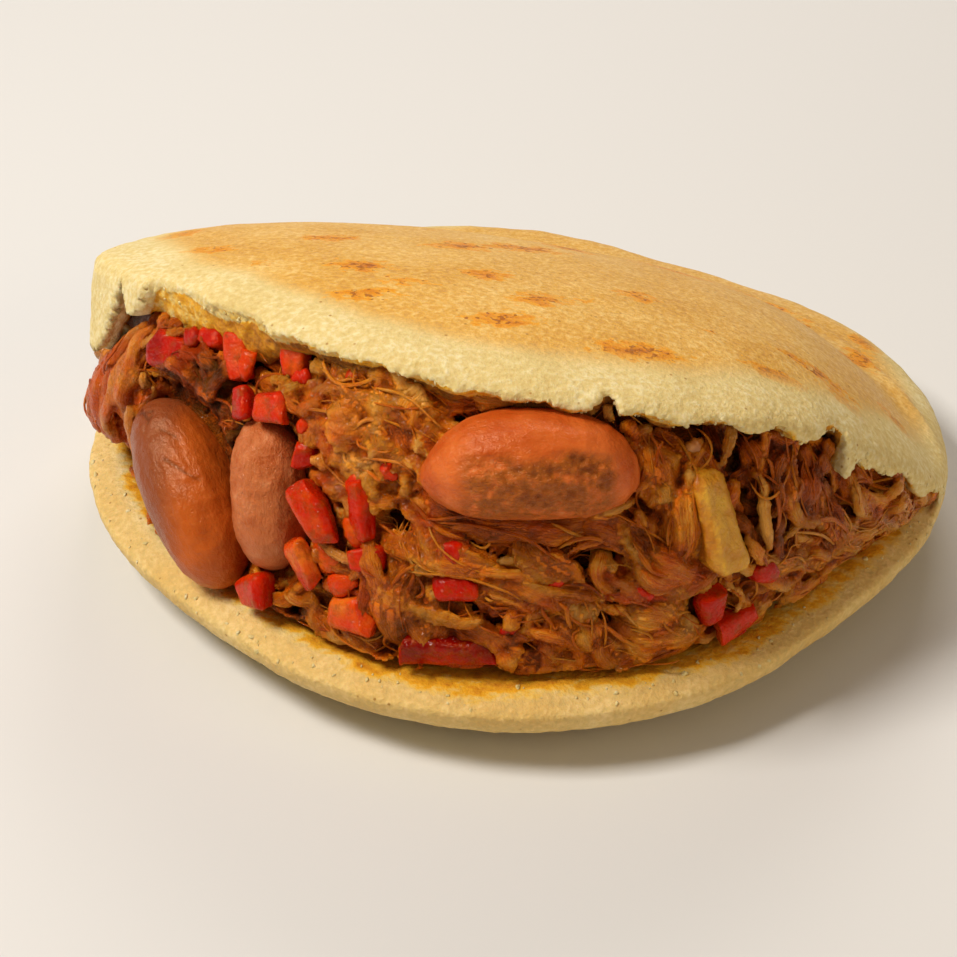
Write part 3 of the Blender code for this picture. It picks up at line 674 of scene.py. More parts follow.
def bread():
    """The griddled bread with its mouth torn open: fine along both lips, coarser where smooth or hidden."""
    piece = link("bread_crumb_and_crust", sphere_mesh("body", BODY_SEGMENTS, BODY_ROWS, body_shape))
    mouth = link("mouth", sphere_mesh("mouth", BODY_SEGMENTS, 2 * (len(MOUTH_SHARES) - 1), mouth_shape))
    modify(piece, "BOOLEAN", operation="DIFFERENCE", solver="MANIFOLD", object=mouth)
    modify(piece, "REMESH", mode="VOXEL", voxel_size=BREAD_VOXEL)
    applied(piece)
    bpy.data.objects.remove(mouth, do_unlink=True)

    at = places_on_bread(piece.data)
    hidden = (at.inner & (at.share < HIDDEN_SHARE)) | (at.floor & (at.low_share < HIDDEN_SHARE))
    smooth = ~hidden & ~at.edge
    for name, chosen, kept in (("hidden", hidden, KEPT_HIDDEN), ("smooth", smooth, KEPT_SMOOTH)):
        group = piece.vertex_groups.new(name=name)
        group.add(np.nonzero(chosen)[0].tolist(), 1.0, "REPLACE")
        modify(piece, "DECIMATE", ratio=kept, vertex_group=name)
    applied(piece)
    finer(piece.data, places_on_bread(piece.data).edge)

    at = places_on_bread(piece.data)
    points, torn = at.points, np.where(at.inner, 1.0, 0.0)
    crumb = 0.5 * lumps(points, 2.1 * MM, 1) + 0.3 * lumps(points, 1.1 * MM, 2) - 0.4
    crumb += 0.5 * grain(points, 3.2 * MM, 6)
    soft = 0.28 * grain(points, 9 * MM, 7) + 0.12 * grain(points, 3 * MM, 8)
    soft += 0.05 * grain(points, 1.2 * MM, 9)
    ragged = 0.06 * grain(points, 1.5 * MM, 13) + 0.04 * grain(points, 0.7 * MM, 14)
    at_tip = smooth_step(1.3 * MM, 0.1 * MM, np.abs(at.above)) * at.upper
    ragged += at_tip * (0.3 * grain(points, 1.2 * MM, 15) + 0.25 * grain(points, 0.6 * MM, 16))
    flare = FLARE * near(at.angle, SOFT_DIRECTION, 14) * smooth_step(3 * MM, -1 * MM, at.above)
    flare = np.where(at.upper & (at.facing > -0.4), flare, 0)
    shove = torn * crumb * 0.85 + (1 - torn) * (soft + flare) + at.edge * ragged
    resting = smooth_step(2.0 * MM, 0.4 * MM, points[:, 2])
    points = pushed(points, at.out, shove * (1 - resting))
    points[:, 2] = np.maximum(points[:, 2], 0)
    place(piece.data, points + CENTRING)
    bread_marks(piece.data, at)
    finish_piece(piece, corn_bread(), "corn_bread", "bread")
    crumbs(piece.data, at)


def bread_marks(mesh, at):
    """Marks where the bread is griddled, spotted, torn and stained with sauce, and where shade is painted:
    on the lower rim and under the upper lip.
    """
    wander = 0.03 * grain(at.points, 14 * MM, 11)
    behind = near(at.angle, 55, 55)
    top = smooth_step(0.92, 0.80, at.share + wander - 0.14 * behind)
    top = top * smooth_step(0.3, 0.7, at.facing + 0.35 * behind)
    top = np.where(at.upper & ~at.inner, top, 0)
    under = smooth_step(0.93, 0.78, at.low_share + wander) * smooth_step(-0.3, -0.8, at.out[:, 2])
    under = np.where(at.points[:, 2] < UNDERSIDE_TO, under, 0)
    # Painted shade: the lower half's outer rim gets half the griddle mark, so it takes some of the skin's
    # darker tan, though it was not griddled there.
    side = np.where(at.upper, 0, 0.5 * smooth_step(0.90, 0.96, at.low_share))
    paint(mesh, "griddle", np.maximum(np.maximum(top, under), side))
    top_spots = np.where(at.upper & (at.facing > 0.2), spot_field(at.x, at.y, SPOTS), -1)
    low_spots = spot_field(at.points[:, 0], at.points[:, 1], under_spots())
    paint(mesh, "spot", np.maximum(top_spots, np.where(at.points[:, 2] < UNDERSIDE_TO, low_spots, -1)))
    paint(mesh, "torn", np.where(at.inner | at.floor | at.edge, 1.0, 0.0))

    reach = 0.945 + 0.022 * near(at.low_angle, 315, 30) + 0.015 * near(at.low_angle, 262, 18)
    reach = reach - 0.03 * near(at.low_angle, 205, 22) + 0.02 * grain(at.points, 6 * MM, 12)
    most = 0.44 - 0.15 * near(at.low_angle, 318, 28)
    stain = np.where(at.floor, np.minimum((reach - at.low_share) / 0.05, most), -1)
    # Sauce stain on the ceiling inside the upper lip, also used as painted shade: darker round 258 degrees
    # and further in, lighter under the bitten-up arch round 206 degrees.
    under_lip_stain_and_shade = 0.8 + 0.35 * near(at.angle, 258, 22) - 0.6 * near(at.angle, 206, 20)
    under_lip_stain_and_shade = under_lip_stain_and_shade + 0.2 * smooth_step(0.93, 0.85, at.share)
    # A real drip of sauce runs down the lip at 300 degrees; the lip's edge also gets some of the ceiling's
    # stain as painted shade where the edge faces down.
    drip_and_under_edge_shade = 1.25 * near(at.angle, 300.5, 1.8) * smooth_step(1.8 * MM, 0.2 * MM, at.above) - 1
    drip_and_under_edge_shade = np.maximum(drip_and_under_edge_shade, np.where(at.edge & (at.facing < -0.25), 0.5 * under_lip_stain_and_shade - 0.28, -1))
    above_stain_and_shade = np.where(at.inner, under_lip_stain_and_shade, drip_and_under_edge_shade)
    paint(mesh, "sauce", np.clip(np.where(at.upper, above_stain_and_shade, stain), -1, 1))


def crumbs(mesh, at):
    """Crumbs along both lips: torn tips of the upper one, and a few loose lumps on the lower one."""
    points, out = coordinates(mesh), normals(mesh)
    tips = at.edge & at.upper & (np.abs(at.above) < 1.4 * MM) & (out[:, 2] < 0.1)
    low = at.edge & at.floor & (at.low_share > 0.93)
    draw = random.Random(71)
    rows = draw.sample(np.nonzero(tips)[0].tolist(), TIP_CRUMBS)
    rows += draw.sample(np.nonzero(low)[0].tolist(), LOOSE_CRUMBS)
    way, around, faces = tube_template(8, 6)
    across = np.cos(way * math.pi / 2)
    ball = np.stack((across * np.cos(around), across * np.sin(around), np.sin(way * math.pi / 2)), axis=1)
    placed = []
    for number in rows:
        size = 0.3 + 0.5 * draw.random() ** 2
        stretch = np.array([draw.uniform(0.6, 1.4) for _ in range(3)])
        lumpy = 1 + 0.7 * grain(ball * 1.1, 1, draw.randrange(999))
        middle = points[number] - out[number] * 0.1 * size * MM
        placed.append(middle + ball * lumpy[:, None] * stretch * 0.5 * size * MM)
    made = gathered("bread_crumbs", np.concatenate(placed), faces, len(ball))
    for name, value in (("griddle", 0.0), ("torn", 1.0), ("spot", -1.0), ("sauce", -1.0)):
        paint(made, name, np.full(len(made.vertices), value))
    finish_piece(link("bread_crumbs", made), bpy.data.materials["griddled corn bread"], "corn_bread")


# Shredded beef.


def tube_template(sides, rows):
    """A closed tube from a sphere, as places along it from -1 to 1, angles round it, and triangles."""
    bm = bmesh.new()
    bmesh.ops.create_uvsphere(bm, u_segments=sides, v_segments=rows, radius=1)
    bmesh.ops.triangulate(bm, faces=bm.faces)
    unit = np.array([vert.co for vert in bm.verts])
    faces = np.array([[vert.index for vert in face.verts] for face in bm.faces])
    bm.free()
    way = np.arcsin(np.clip(unit[:, 2], -1, 1)) / (math.pi / 2)
    return way, np.arctan2(unit[:, 1], unit[:, 0]), faces


def sausage_axes(heading, climb):
    """A chunk's own axes, as the columns of a matrix: the first runs along it."""
    turned = Matrix.Rotation(math.radians(heading), 4, "Z") @ Matrix.Rotation(-math.radians(climb), 4, "Y")
    return np.array(turned.to_3x3())


def tucked(points):
    """Moves meat that would lie over a sausage back behind it, and lower in a trough round it."""
    points = points.copy()
    for centre, heading, climb, length, width in SAUSAGES.values():
        axis = sausage_axes(heading, climb)[:, 0]
        outward = np.array((0, -math.cos(ELEVATION), math.sin(ELEVATION)))
        outward -= axis * (outward @ axis)
        outward /= np.linalg.norm(outward)
        local = (points - np.array(centre) * MM) / MM
        far = np.hypot(local @ axis / (0.5 * length), local @ np.cross(axis, outward) / (0.5 * width))
        most = TUCKED_TO + TROUGH_SLOPE * np.maximum(0, far - 1)
        over = np.where(far < TROUGH_END, np.maximum(0, local @ outward - most), 0)
        points -= outward * over[:, None] * MM
    return points


class Strands:
    """Many strands gathered into one mesh. Each point keeps its place along and across its strand, and each
    strand its tone, how red it is, and how chopped, or how smooth where that is below 0."""

    def __init__(self, sides, rows):
        self.way, self.around, self.faces = tube_template(sides, rows)
        self.points, self.fibre, self.marks = [], [], []

    def add(self, direction, height, path, width, thick, tone, ridges=0.0, seed=0):
        """One strand: path(way) gives along, up and out in mm; width and thick are its full sizes in mm."""
        way, around = self.way, self.around
        step = 0.02
        middle = path(way)
        tangent = path(np.minimum(way + step, 1)) - path(np.maximum(way - step, -1))
        tangent /= np.linalg.norm(tangent, axis=1, keepdims=True) + 1e-9
        up = np.array((0.0, 0.0, 1.0)) - tangent * tangent[:, 2:]
        up /= np.linalg.norm(up, axis=1, keepdims=True) + 1e-9
        side = np.cross(tangent, up)
        round_off = np.sqrt(np.maximum(0, 1 - np.abs(way) ** 2.6))
        cross = np.stack((np.cos(around) * 1.8, np.sin(around) * 1.8, way * 1.1), axis=1)
        swell = np.ones_like(way)
        if ridges:
            slow = np.stack((way * 1.9, 0 * way, 0 * way), axis=1)
            swell += ridges * grain(cross, 1, seed) + 0.55 * grain(slow, 1, seed + 50)
        radius = 0.5 * round_off * swell
        offset = side * (width * radius * np.cos(around))[:, None]
        offset += up * (thick * radius * np.sin(around))[:, None]
        self.points.append(on_face(direction, height, middle + offset))
        length = np.linalg.norm(path(np.array([1.0])) - path(np.array([-1.0])))
        lay = (way * 0.5 * length + 2.3 * (seed % 9), width * np.cos(around), thick * np.sin(around))
        self.fibre.append(np.stack(lay, axis=1))
        chopped = -1 if on_flap(direction) else closeness(direction, height, CHOPPED)
        tone -= DARKER_IN_SAUCE * smooth_step(0.3, 0.0, height)
        tone -= DARKER_BY * closeness(direction, height, DARKER)
        marks = (min(tone, MOST_GOLDEN), closeness(direction, height, STAINS), chopped)
        self.marks.append(np.tile(marks, (len(way), 1)))

    def mesh(self, name):
        """All the strands as they are, tucked behind the sausages."""
        points = tucked(np.concatenate(self.points)) + CENTRING
        made = gathered(name, points, self.faces, len(self.way))
        faced_out(made)
        paint(made, "fibre", np.concatenate(self.fibre))
        paint(made, "marks", np.concatenate(self.marks))
        return made

    def fused(self, name, voxel):
        """The strands melted into one wet, striated mass, with each place marked as its strand is, and with
        painted shade: darker tone in its gaps, lighter on its ridges.
        """
        piece = link(name, self.mesh(name))
        near_strand = kdtree.KDTree(len(piece.data.vertices))
        for number, vert in enumerate(piece.data.vertices):
            near_strand.insert(vert.co, number)
        near_strand.balance()
        modify(piece, "REMESH", mode="VOXEL", voxel_size=voxel)
        modify(piece, "SMOOTH", factor=0.5, iterations=2)
        applied(piece)
        points, out = coordinates(piece.data), normals(piece.data)
        relief = points - softened(piece.data, GAP_SOFTENING)
        relief = np.clip((relief * out).sum(axis=1) / MM, -0.7, 0.5)
        found = np.array([[hit[1:] for hit in near_strand.find_n(row, 6)] for row in points.tolist()])
        index, far = found[..., 0].astype(int), found[..., 1] / MM
        same_strand = index // len(self.way) == index[:, :1] // len(self.way)
        weight = same_strand / (far**2 + 0.15)
        weight = (weight / weight.sum(axis=1, keepdims=True))[..., None]
        fibre = (np.concatenate(self.fibre)[index] * weight).sum(axis=1)
        marks = (np.concatenate(self.marks)[index] * weight).sum(axis=1)
        # Painted shade and painted light: the tone is lowered in the gaps between strands and raised on
        # their ridges.
        marks[:, 0] += 1.0 * np.minimum(relief, 0.25)
        striped = grain(fibre * np.array((0.16, 1.8, 1.8)), 1, 24)
        coarse, fine = grain(points, 1.7 * MM, 25), grain(points, 0.8 * MM, 26)
        chopped, smooth = np.maximum(marks[:, 2], 0), np.maximum(-marks[:, 2], 0)
        shove = (0.24 * striped + 0.16 * coarse + 0.12 * fine) * (1 - 0.2 * smooth)
        shove += (1.25 - 0.6 * smooth) * relief + chopped * (0.6 * coarse + 0.4 * fine)
        place(piece.data, pushed(points, out, shove))
        paint(piece.data, "fibre", fibre)
        paint(piece.data, "marks", marks)
        return piece


def on_flap(direction):
    """Whether this direction is on the flap of meat at the left."""
    return FLAP_FROM < direction < FLAP_TO


def under_arch(direction, height):
    """Whether this place is just under the arch of the lip, where no loose bits lie."""
    return abs(direction - ARCH_DIRECTION) < 15 and height > 0.84


def kept_clear(direction, height):
    """Whether no loose bits or strands lie here: on the flap and under the arch."""
    return on_flap(direction) or under_arch(direction, height)


def softened(mesh, iterations):
    """Where the points of a mesh would be if it were smoothed, to tell its ridges from its gaps."""
    soft = modify(link("softened", mesh.copy()), "SMOOTH", factor=0.5, iterations=iterations).id_data
    mesh = applied(soft).data
    points = coordinates(mesh)
    bpy.data.objects.remove(soft)
    bpy.data.meshes.remove(mesh)
    return points


def closeness(direction, height, places):
    """1 in the middle of the nearest of these places of the heap's face, falling away to 0."""
    best = 0.0
    for other, level, reach in places:
        far = math.hypot((direction - other) * FACE_MM_PER_DEGREE, (height - level) * FACE_MM_TALL) / reach
        best = max(best, math.exp(-far * far))
    return best


def curved_path(turn, curl, length, inset, dive, wander=0.0, seed=0, offset=(0, 0, 0)):
    """The middle line of a strand that follows the face and dives into the heap at both ends."""

    def path(way):
        heading = math.radians(turn) + math.radians(0.5 * curl) * way
        gone = 0.5 * length * way
        along = gone * np.cos(heading) + offset[0]
        rise = gone * np.sin(heading) + offset[1]
        out = -inset - dive * np.abs(way) ** 4 + offset[2]
        if wander:
            phase = 6.1 * seed
            along = along + wander * np.sin(3.1 * way + phase)
            rise = rise + wander * np.cos(2.3 * way + 1.7 * phase)
            out = out + 0.5 * wander * np.sin(4.3 * way + 2.9 * phase)
        return np.stack((along, rise, out), axis=1)

    return path


def lie_of_meat(direction, height):
    """Which way the nearest strands run at this place, in degrees, and their tone."""
    total, tone, weights = 0j, 0.0, 0.0
    for row in SHREDS:
        along = (direction - row[0]) * FACE_MM_PER_DEGREE
        rise = (height - row[1]) * FACE_MM_TALL
        weight = 1 / (4 + along * along + rise * rise) ** 1.5
        total += weight * complex(math.cos(math.radians(2 * row[3])), math.sin(math.radians(2 * row[3])))
        tone += weight * row[7]
        weights += weight
    return math.degrees(math.atan2(total.imag, total.real)) / 2, tone / weights


def mass_at(masses, direction):
    """The fused mass that a strand in this direction belongs to."""
    return masses[sum(direction > edge for edge in MASS_EDGES)]


def main_bundles(masses):
    """The strands of the solid and those that only the scene has, each a ridged bundle of muscle fibre."""
    for seed, row in enumerate(SHREDS + MORE_STRANDS, start=1):
        direction, height, inset, turn, length, width, curl, tone = row
        path = curved_path(turn, curl, length, inset, 2.0, 0.4, seed)
        mass_at(masses, direction).add(direction, height, path, 1.25 * width, 0.68 * width, tone, 0.5, seed)


def fill_bundles(masses):
    """Smaller bundles between and behind them, laid roughly the way the nearest ones run."""
    draw = random.Random(11)
    for direction in np.arange(136, 344, 3.4):
        for height in np.arange(0.05, 1.0, 0.12):
            place_at = direction + draw.uniform(-2.2, 2.2)
            up = height + draw.uniform(-0.07, 0.07)
            turn, tone = lie_of_meat(place_at, up)
            turn += draw.gauss(0, 34)
            length, width = draw.uniform(6, 15), draw.uniform(2.0, 4.4)
            if under_arch(place_at, up):
                continue
            sunk = 2.8 * closeness(place_at, up, HOLLOWS)
            inset = draw.uniform(0.6, 2.6) + sunk + 0.8 * on_flap(place_at)
            path = curved_path(turn, draw.uniform(-60, 60), length, inset, 1.4, 0.6, draw.random())
            # Painted shade: bundles that lie deeper in the heap, and in its hollows, get a darker tone.
            tone += draw.gauss(0, 0.16) - 0.06 * inset
            thick, seed = width * draw.uniform(0.45, 0.75), draw.randrange(SEEDS)
            mass_at(masses, place_at).add(place_at, up, path, width, thick, tone, 0.6, seed)


def teased_strands(masses):
    """Thinner strands pulled off the bundles, which lie over them."""
    draw = random.Random(16)
    for _ in range(TEASED):
        direction, height = draw.uniform(138, 343), draw.uniform(0.03, 0.97)
        hollow = closeness(direction, height, HOLLOWS) > 0.45
        if hollow or closeness(direction, height, CHOPPED) > draw.random() or kept_clear(direction, height):
            continue
        turn, tone = lie_of_meat(direction, height)
        width = draw.uniform(0.9, 1.9)
        path = curved_path(
            turn + draw.gauss(0, 26), draw.uniform(-70, 70), draw.uniform(6, 14), draw.uniform(-1.8, 0.4),
            draw.uniform(0.6, 2.4), draw.uniform(0.2, 0.6), draw.random(),
        )
        tone += draw.gauss(0, 0.14)
        seed = draw.randrange(SEEDS)
        mass_at(masses, direction).add(direction, height, path, width, 0.8 * width, tone, 0.4, seed)


def chopped_meat(masses):
    """Short torn bits in the chopped clumps and in the gaps."""
    draw = random.Random(14)
    for number in range(CHOPPED_BITS):
        direction, height = draw.uniform(138, 342), draw.uniform(0.02, 0.98)
        if number % 3 == 0:
            direction, height = draw.gauss(247, 5.5), draw.gauss(0.76, 0.11)
        elif number % 3 == 1 and number % 2:
            direction, height = draw.gauss(219, 4), draw.gauss(0.60, 0.12)
        if closeness(direction, height, HOLLOWS) > 0.5 or kept_clear(direction, height):
            continue
        turn, tone = lie_of_meat(direction, height)
        width = draw.uniform(0.9, 2.4)
        path = curved_path(
            turn + draw.gauss(0, 50), draw.uniform(-60, 60), width * draw.uniform(1.2, 3.0),
            draw.uniform(-1.3, 1.4), draw.uniform(0, 1), 0.15, draw.random(),
        )
        tone += draw.gauss(0, 0.16)
        thick, seed = width * draw.uniform(0.6, 0.9), draw.randrange(SEEDS)
        mass_at(masses, direction).add(direction, height, path, width, thick, tone, 0.6, seed)


def bundle_fibres(fibres):
    """Fibres that lie on each bundle and fray out of its ends."""
    draw = random.Random(12)
    for direction, height, inset, turn, length, width, curl, tone in SHREDS:
        count = (1 + 0.1 * length) * (FLAP_FIBRES if direction < FLAP_TO else 1)
        for _ in range(round(count)):
            off = draw.uniform(-0.5, 0.5) * width
            heading = math.radians(turn)
            slide = draw.uniform(-0.4, 0.4) * length
            high = 0.36 * width * math.sqrt(max(0.0, 1 - (2 * off / width) ** 2))
            offset = (
                slide * math.cos(heading) - off * math.sin(heading),
                slide * math.sin(heading) + off * math.cos(heading),
                high + draw.uniform(-0.4, 0.2),
            )
            long = length * draw.uniform(0.3, 0.8)
            path = curved_path(
                turn + draw.gauss(0, 9), curl + draw.gauss(0, 30), long, inset, draw.uniform(-0.4, 1.6),
                draw.uniform(0.2, 0.7), draw.random(), offset,
            )
            thick = draw.uniform(0.25, 0.5)
            wide = thick * draw.uniform(1.0, 1.8)
            fibres.add(direction, height, path, wide, thick, tone + draw.gauss(0.08, 0.12))


# Where a ray that looks for the meat starts and ends, and where a fibre lies if it finds none, in mm out.
CAST_FROM = 7
CAST_TO = -6
NOT_HIT = -3.0


def clinging(tree, direction, height, path):
    """The same path, pressed on to the meat that is there."""
    ways = np.linspace(-1, 1, 17)
    flat = path(ways) * (1, 1, 0)
    start = on_face(direction, height, flat + (0, 0, CAST_FROM))
    end = on_face(direction, height, flat + (0, 0, CAST_TO))
    out = []
    for first, last in zip(start.tolist(), end.tolist()):
        first, last = Vector(first) + Vector(CENTRING), Vector(last) + Vector(CENTRING)
        gone = tree.ray_cast(first, last - first, (last - first).length)[3]
        length = (last - first).length
        out.append(NOT_HIT if gone is None else CAST_FROM + (CAST_TO - CAST_FROM) * gone / length)
    out = np.convolve(np.pad(out, 2, "edge"), (0.15, 0.2, 0.3, 0.2, 0.15), "valid")

    def pressed(way):
        at = path(way)
        at[:, 2] = np.interp(way, ways, out) + 0.08 - 0.7 * np.abs(way) ** 6
        return at

    return pressed


def surface_fibres(fibres, tree):
    """Hair-thin fibres that cling to the meat along its grain, few on the chopped meat and on the flap."""
    draw = random.Random(15)
    for _ in range(SURFACE_FIBRES):
        direction, height = draw.uniform(140, 343), draw.uniform(0.03, 0.95)
        few = max(closeness(direction, height, CHOPPED), 1.1 * on_flap(direction))
        if draw.random() < 0.9 * few:
            continue
        turn, tone = lie_of_meat(direction, height)
        path = curved_path(
            turn + draw.gauss(0, 18), draw.uniform(-60, 60), draw.uniform(3.5, 12), 0, 0,
            draw.uniform(0.1, 0.5), draw.random(),
        )
        thick = 0.16 + 0.26 * draw.random() ** 2
        wide = thick * draw.uniform(1, 1.5)
        path = clinging(tree, direction, height, path)
        fibres.add(direction, height, path, wide, thick, tone + draw.gauss(0.06, 0.14))


def loose_fibres(fibres):
    """Thin pale fibres that arch over the heap every way."""
    draw = random.Random(13)
    for _ in range(LOOSE_FIBRES):
        direction, height = draw.uniform(142, 342), draw.uniform(0.02, 0.98)
        if on_flap(direction) and draw.random() > FLAP_FIBRES:
            continue
        turn, tone = lie_of_meat(direction, height)
        thick = draw.uniform(0.16, 0.34)
        path = curved_path(
            turn + draw.gauss(0, 40), draw.uniform(-120, 120), draw.uniform(3.5, 12),
            draw.uniform(-1.9, 0.4), draw.uniform(0.4, 2.8), draw.uniform(0.2, 0.8), draw.random(),
        )
        fibres.add(direction, height, path, thick * 1.3, thick, tone + draw.uniform(0.1, 0.35))


def heap_core():
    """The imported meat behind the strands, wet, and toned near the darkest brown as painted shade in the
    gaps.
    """
    outward = (0, 0.6, 0.96, 1, 1, 1, 1, 0.94, 0.5, 0)
    upward = (0, 0, 0, 0.12, 0.4, 0.7, 0.92, 1, 1, 1)
    marks = np.linspace(0, 1, len(outward))

    def shape(angle, elevation):
        way = elevation / math.pi + 0.5
        part_way, height = np.interp(way, marks, outward), np.interp(way, marks, upward)
        front = face_share(angle, height) - CORE_DEPTH / HALF_WIDTH
        back = pocket_reach(angle) - CORE_BACK_GAP / HALF_WIDTH
        share = np.minimum(front, back) * part_way
        floor, roof = pocket_floor(angle, share, CORE_CLEAR), pocket_roof(angle, share, CORE_CLEAR)
        return floor + (roof - floor) * height[:, None]

    mesh = sphere_mesh("beef_core", 260, 78, shape)
    points, out = coordinates(mesh), normals(mesh)
    relief = 0.8 * grain(points, 3 * MM, 21) + 0.5 * grain(points, 1.3 * MM, 22)
    place(mesh, pushed(points, out, relief))
    paint(mesh, "fibre", points / MM)
    # Painted shade: the core gets a tone near the darkest, so that the gaps between strands look dark.
    tone = 0.05 + 0.12 * grain(points, 5 * MM, 23)
    paint(mesh, "marks", np.stack((tone, 0 * tone, 0 * tone), axis=1))
    return mesh


def joined_tree(meshes):
    """One tree for casting rays at several meshes."""
    points, faces = [], []
    for mesh in meshes:
        first = len(points)
        points += coordinates(mesh).tolist()
        faces += [[first + number for number in face.vertices] for face in mesh.polygons]
    return bvhtree.BVHTree.FromPolygons(points, faces)


def beef():
    """The heap: three fused masses of strands, fibres on them and over them, and the core behind."""
    material = braised_beef()
    masses = [Strands(14, 22) for _ in range(len(MASS_EDGES) + 1)]
    main_bundles(masses)
    fill_bundles(masses)
    teased_strands(masses)
    chopped_meat(masses)
    pieces = [mass.fused(f"beef_mass_{number}", MASS_VOXEL) for number, mass in enumerate(masses, start=1)]
    tree = joined_tree([piece.data for piece in pieces])
    fibres, loose = Strands(5, 12), Strands(5, 14)
    bundle_fibres(fibres)
    surface_fibres(fibres, tree)
    loose_fibres(loose)
    pieces.append(link("beef_core", heap_core()))
    pieces.append(link("beef_fibres", fibres.mesh("beef_fibres")))
    pieces.append(link("beef_loose_fibres", loose.mesh("beef_loose_fibres")))
    for piece in pieces:
        finish_piece(piece, material, "beef", "shredded_beef")


# Pieces shaped from copies of the solids.


def copied(node, name, smooth=0, voxel=0.0):
    """A new piece with the form of a solid: its corners merged, and its surface made finer."""
    bm = bmesh.new()
    bm.from_mesh(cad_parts[node].data)
    bmesh.ops.remove_doubles(bm, verts=bm.verts, dist=0.002 * MM)
    mesh = bpy.data.meshes.new(name)
    bm.to_mesh(mesh)
    bm.free()
    piece = link(name, mesh)
    if voxel:
        modify(piece, "REMESH", mode="VOXEL", voxel_size=voxel)
    if smooth:
        modify(piece, "SMOOTH", factor=0.5, iterations=smooth)
    return applied(piece)


def sausages():
    """The three chunks, with what the eye sees of each worked out in its own axes."""
    for node, (centre, heading, climb, length, width) in SAUSAGES.items():
        piece = copied(node, node + "_skin", 10, SAUSAGE_VOXEL)
        axes = sausage_axes(heading, climb)
        points, out = coordinates(piece.data), normals(piece.data)
        local = (points - CENTRING - np.array(centre) * MM) @ axes / MM
        to_eye = np.array((0, -math.cos(ELEVATION), math.sin(ELEVATION))) @ axes
        upward = np.array((0, math.sin(ELEVATION), math.cos(ELEVATION))) @ axes
        rightward = np.array((1, 0, 0)) @ axes
        shove, cut, creased_with_painted_shade, shade = sausage_relief(node, local, length, width, to_eye, upward, rightward)
        place(piece.data, pushed(points, out, shove))
        paint(piece.data, "cut", cut)
        paint(piece.data, "creased_with_painted_shade", creased_with_painted_shade)
        paint(piece.data, "shade", shade)
        paint(piece.data, "lie", local)
        finish_piece(piece, sausage_skin(node), "sausage", node)


# Creases in the left sausage's skin: from and to, each as a share of its half length and mm round it from
# the middle of the side that shows, then how deep.
CREASES = (
    (0.93, -2.2, 0.74, -1.3, 0.2), (0.87, -2.9, 0.80, -0.2, 0.16), (0.76, -0.6, 0.70, -1.6, 0.14),
    (0.58, 0.0, 0.46, 1.5, 0.14), (0.46, 1.5, 0.39, 1.9, 0.1), (0.27, -1.0, 0.03, 1.2, 0.16),
    (0.03, 1.2, -0.07, 2.4, 0.12),
)
CREASE_WIDTH = 0.26


def crease(along, round_it, row, half_length):
    """How near each point of the skin is to this crease: 1 in it, 0 away from it."""
    start = np.array((row[0] * half_length, row[1]))
    run = np.array((row[2] * half_length, row[3])) - start
    off = np.stack((along, round_it), axis=1) - start
    part = np.clip(off @ run / (run @ run), 0, 1)
    far = np.linalg.norm(off - part[:, None] * run, axis=1)
    return np.exp(-((far / CREASE_WIDTH) ** 2))


def sausage_relief(node, local, length, width, to_eye, upward, rightward):
    """How far the surface stands out, in mm, and where it is cut meat, where its creases are (dented, and
    darker as painted shade), and browner.
    """
    way = local[:, 0] / (0.5 * length)
    stretched = local * np.array((0.3, 1, 1))
    shove = 0.13 * grain(stretched, 1.6, 31) + 0.25 * grain(local, 6, 32) + 0.06 * grain(local, 0.9, 38)
    cut, creased_with_painted_shade, shade = np.zeros(len(local)), np.zeros(len(local)), np.zeros(len(local))
    if node == "sausage_left":
        around = np.arctan2(local[:, 2], local[:, 1]) - math.atan2(to_eye[2], to_eye[1])
        around = (around + math.pi) % (2 * math.pi) - math.pi
        radius = np.hypot(local[:, 1], local[:, 2])
        for row in CREASES:
            creased_with_painted_shade = np.maximum(creased_with_painted_shade, row[4] * crease(local[:, 0], around * radius, row, 0.5 * length))
        shove = shove - creased_with_painted_shade + 0.6 * smooth_step(0.5, 0.9, way)
        shade = smooth_step(-1.0, 5.0, -local @ rightward) + 0.6 * smooth_step(0.55, 0.95, way)
    if node == "sausage_middle":
        cut = smooth_step(-0.9, -0.1, way + 0.35 * grain(local, 4, 33))
        shove = shove + 0.10 * grain(local, 0.8, 34) * cut
    if node == "sausage_right":
        down = -(local @ upward) + 1.5 * grain(local, 4, 35)
        cut = smooth_step(-2.4, -0.4, down) * smooth_step(-0.66, -0.44, way) * smooth_step(0.84, 0.68, way)
        cut = cut * smooth_step(-0.2, 0.4, (local @ to_eye) / (0.5 * width))
        shove = shove + cut * (0.42 * grain(local, 1.9, 36) + 0.34 * grain(local, 0.8, 37) - 0.35)
        shove = shove - 1.1 * smooth_step(-0.45, -1.0, way)
    return shove, cut, creased_with_painted_shade, np.clip(shade, 0, 1)


# How orange some peppers are: 0 is red, below 0 is deeper red, and above 0 pale flesh shows.
ORANGE_PEPPERS = {
    "pepper_02": 0.2, "pepper_06": 0.2, "pepper_13": 0.36, "pepper_14": 0.34, "pepper_17": -0.2,
    "pepper_20": 0.25,
}
# How much wider some of them are to the right, to the back and at the top.
TAPERS = {
    "pepper_09": (-0.3, 0, 0.9), "pepper_12": (0.5, 0, 0.6), "pepper_11": (-0.6, 0, 0.2),
    "pepper_14": (0.5, 0, -0.3), "pepper_05": (0.3, 0, -0.5), "pepper_17": (-0.5, 0, 0),
    "pepper_20": (-0.6, 0, 0), "pepper_18": (0, 0, 0.6),
}

# How many flat cuts each die gets, and how much wider one side may be where no taper is given.
PEPPER_FACETS = 4
DIE_SKEW = 0.6


def any_way(draw):
    """A direction drawn at random."""
    way = np.array([draw.gauss(0, 1) for _ in range(3)])
    return way / np.linalg.norm(way)


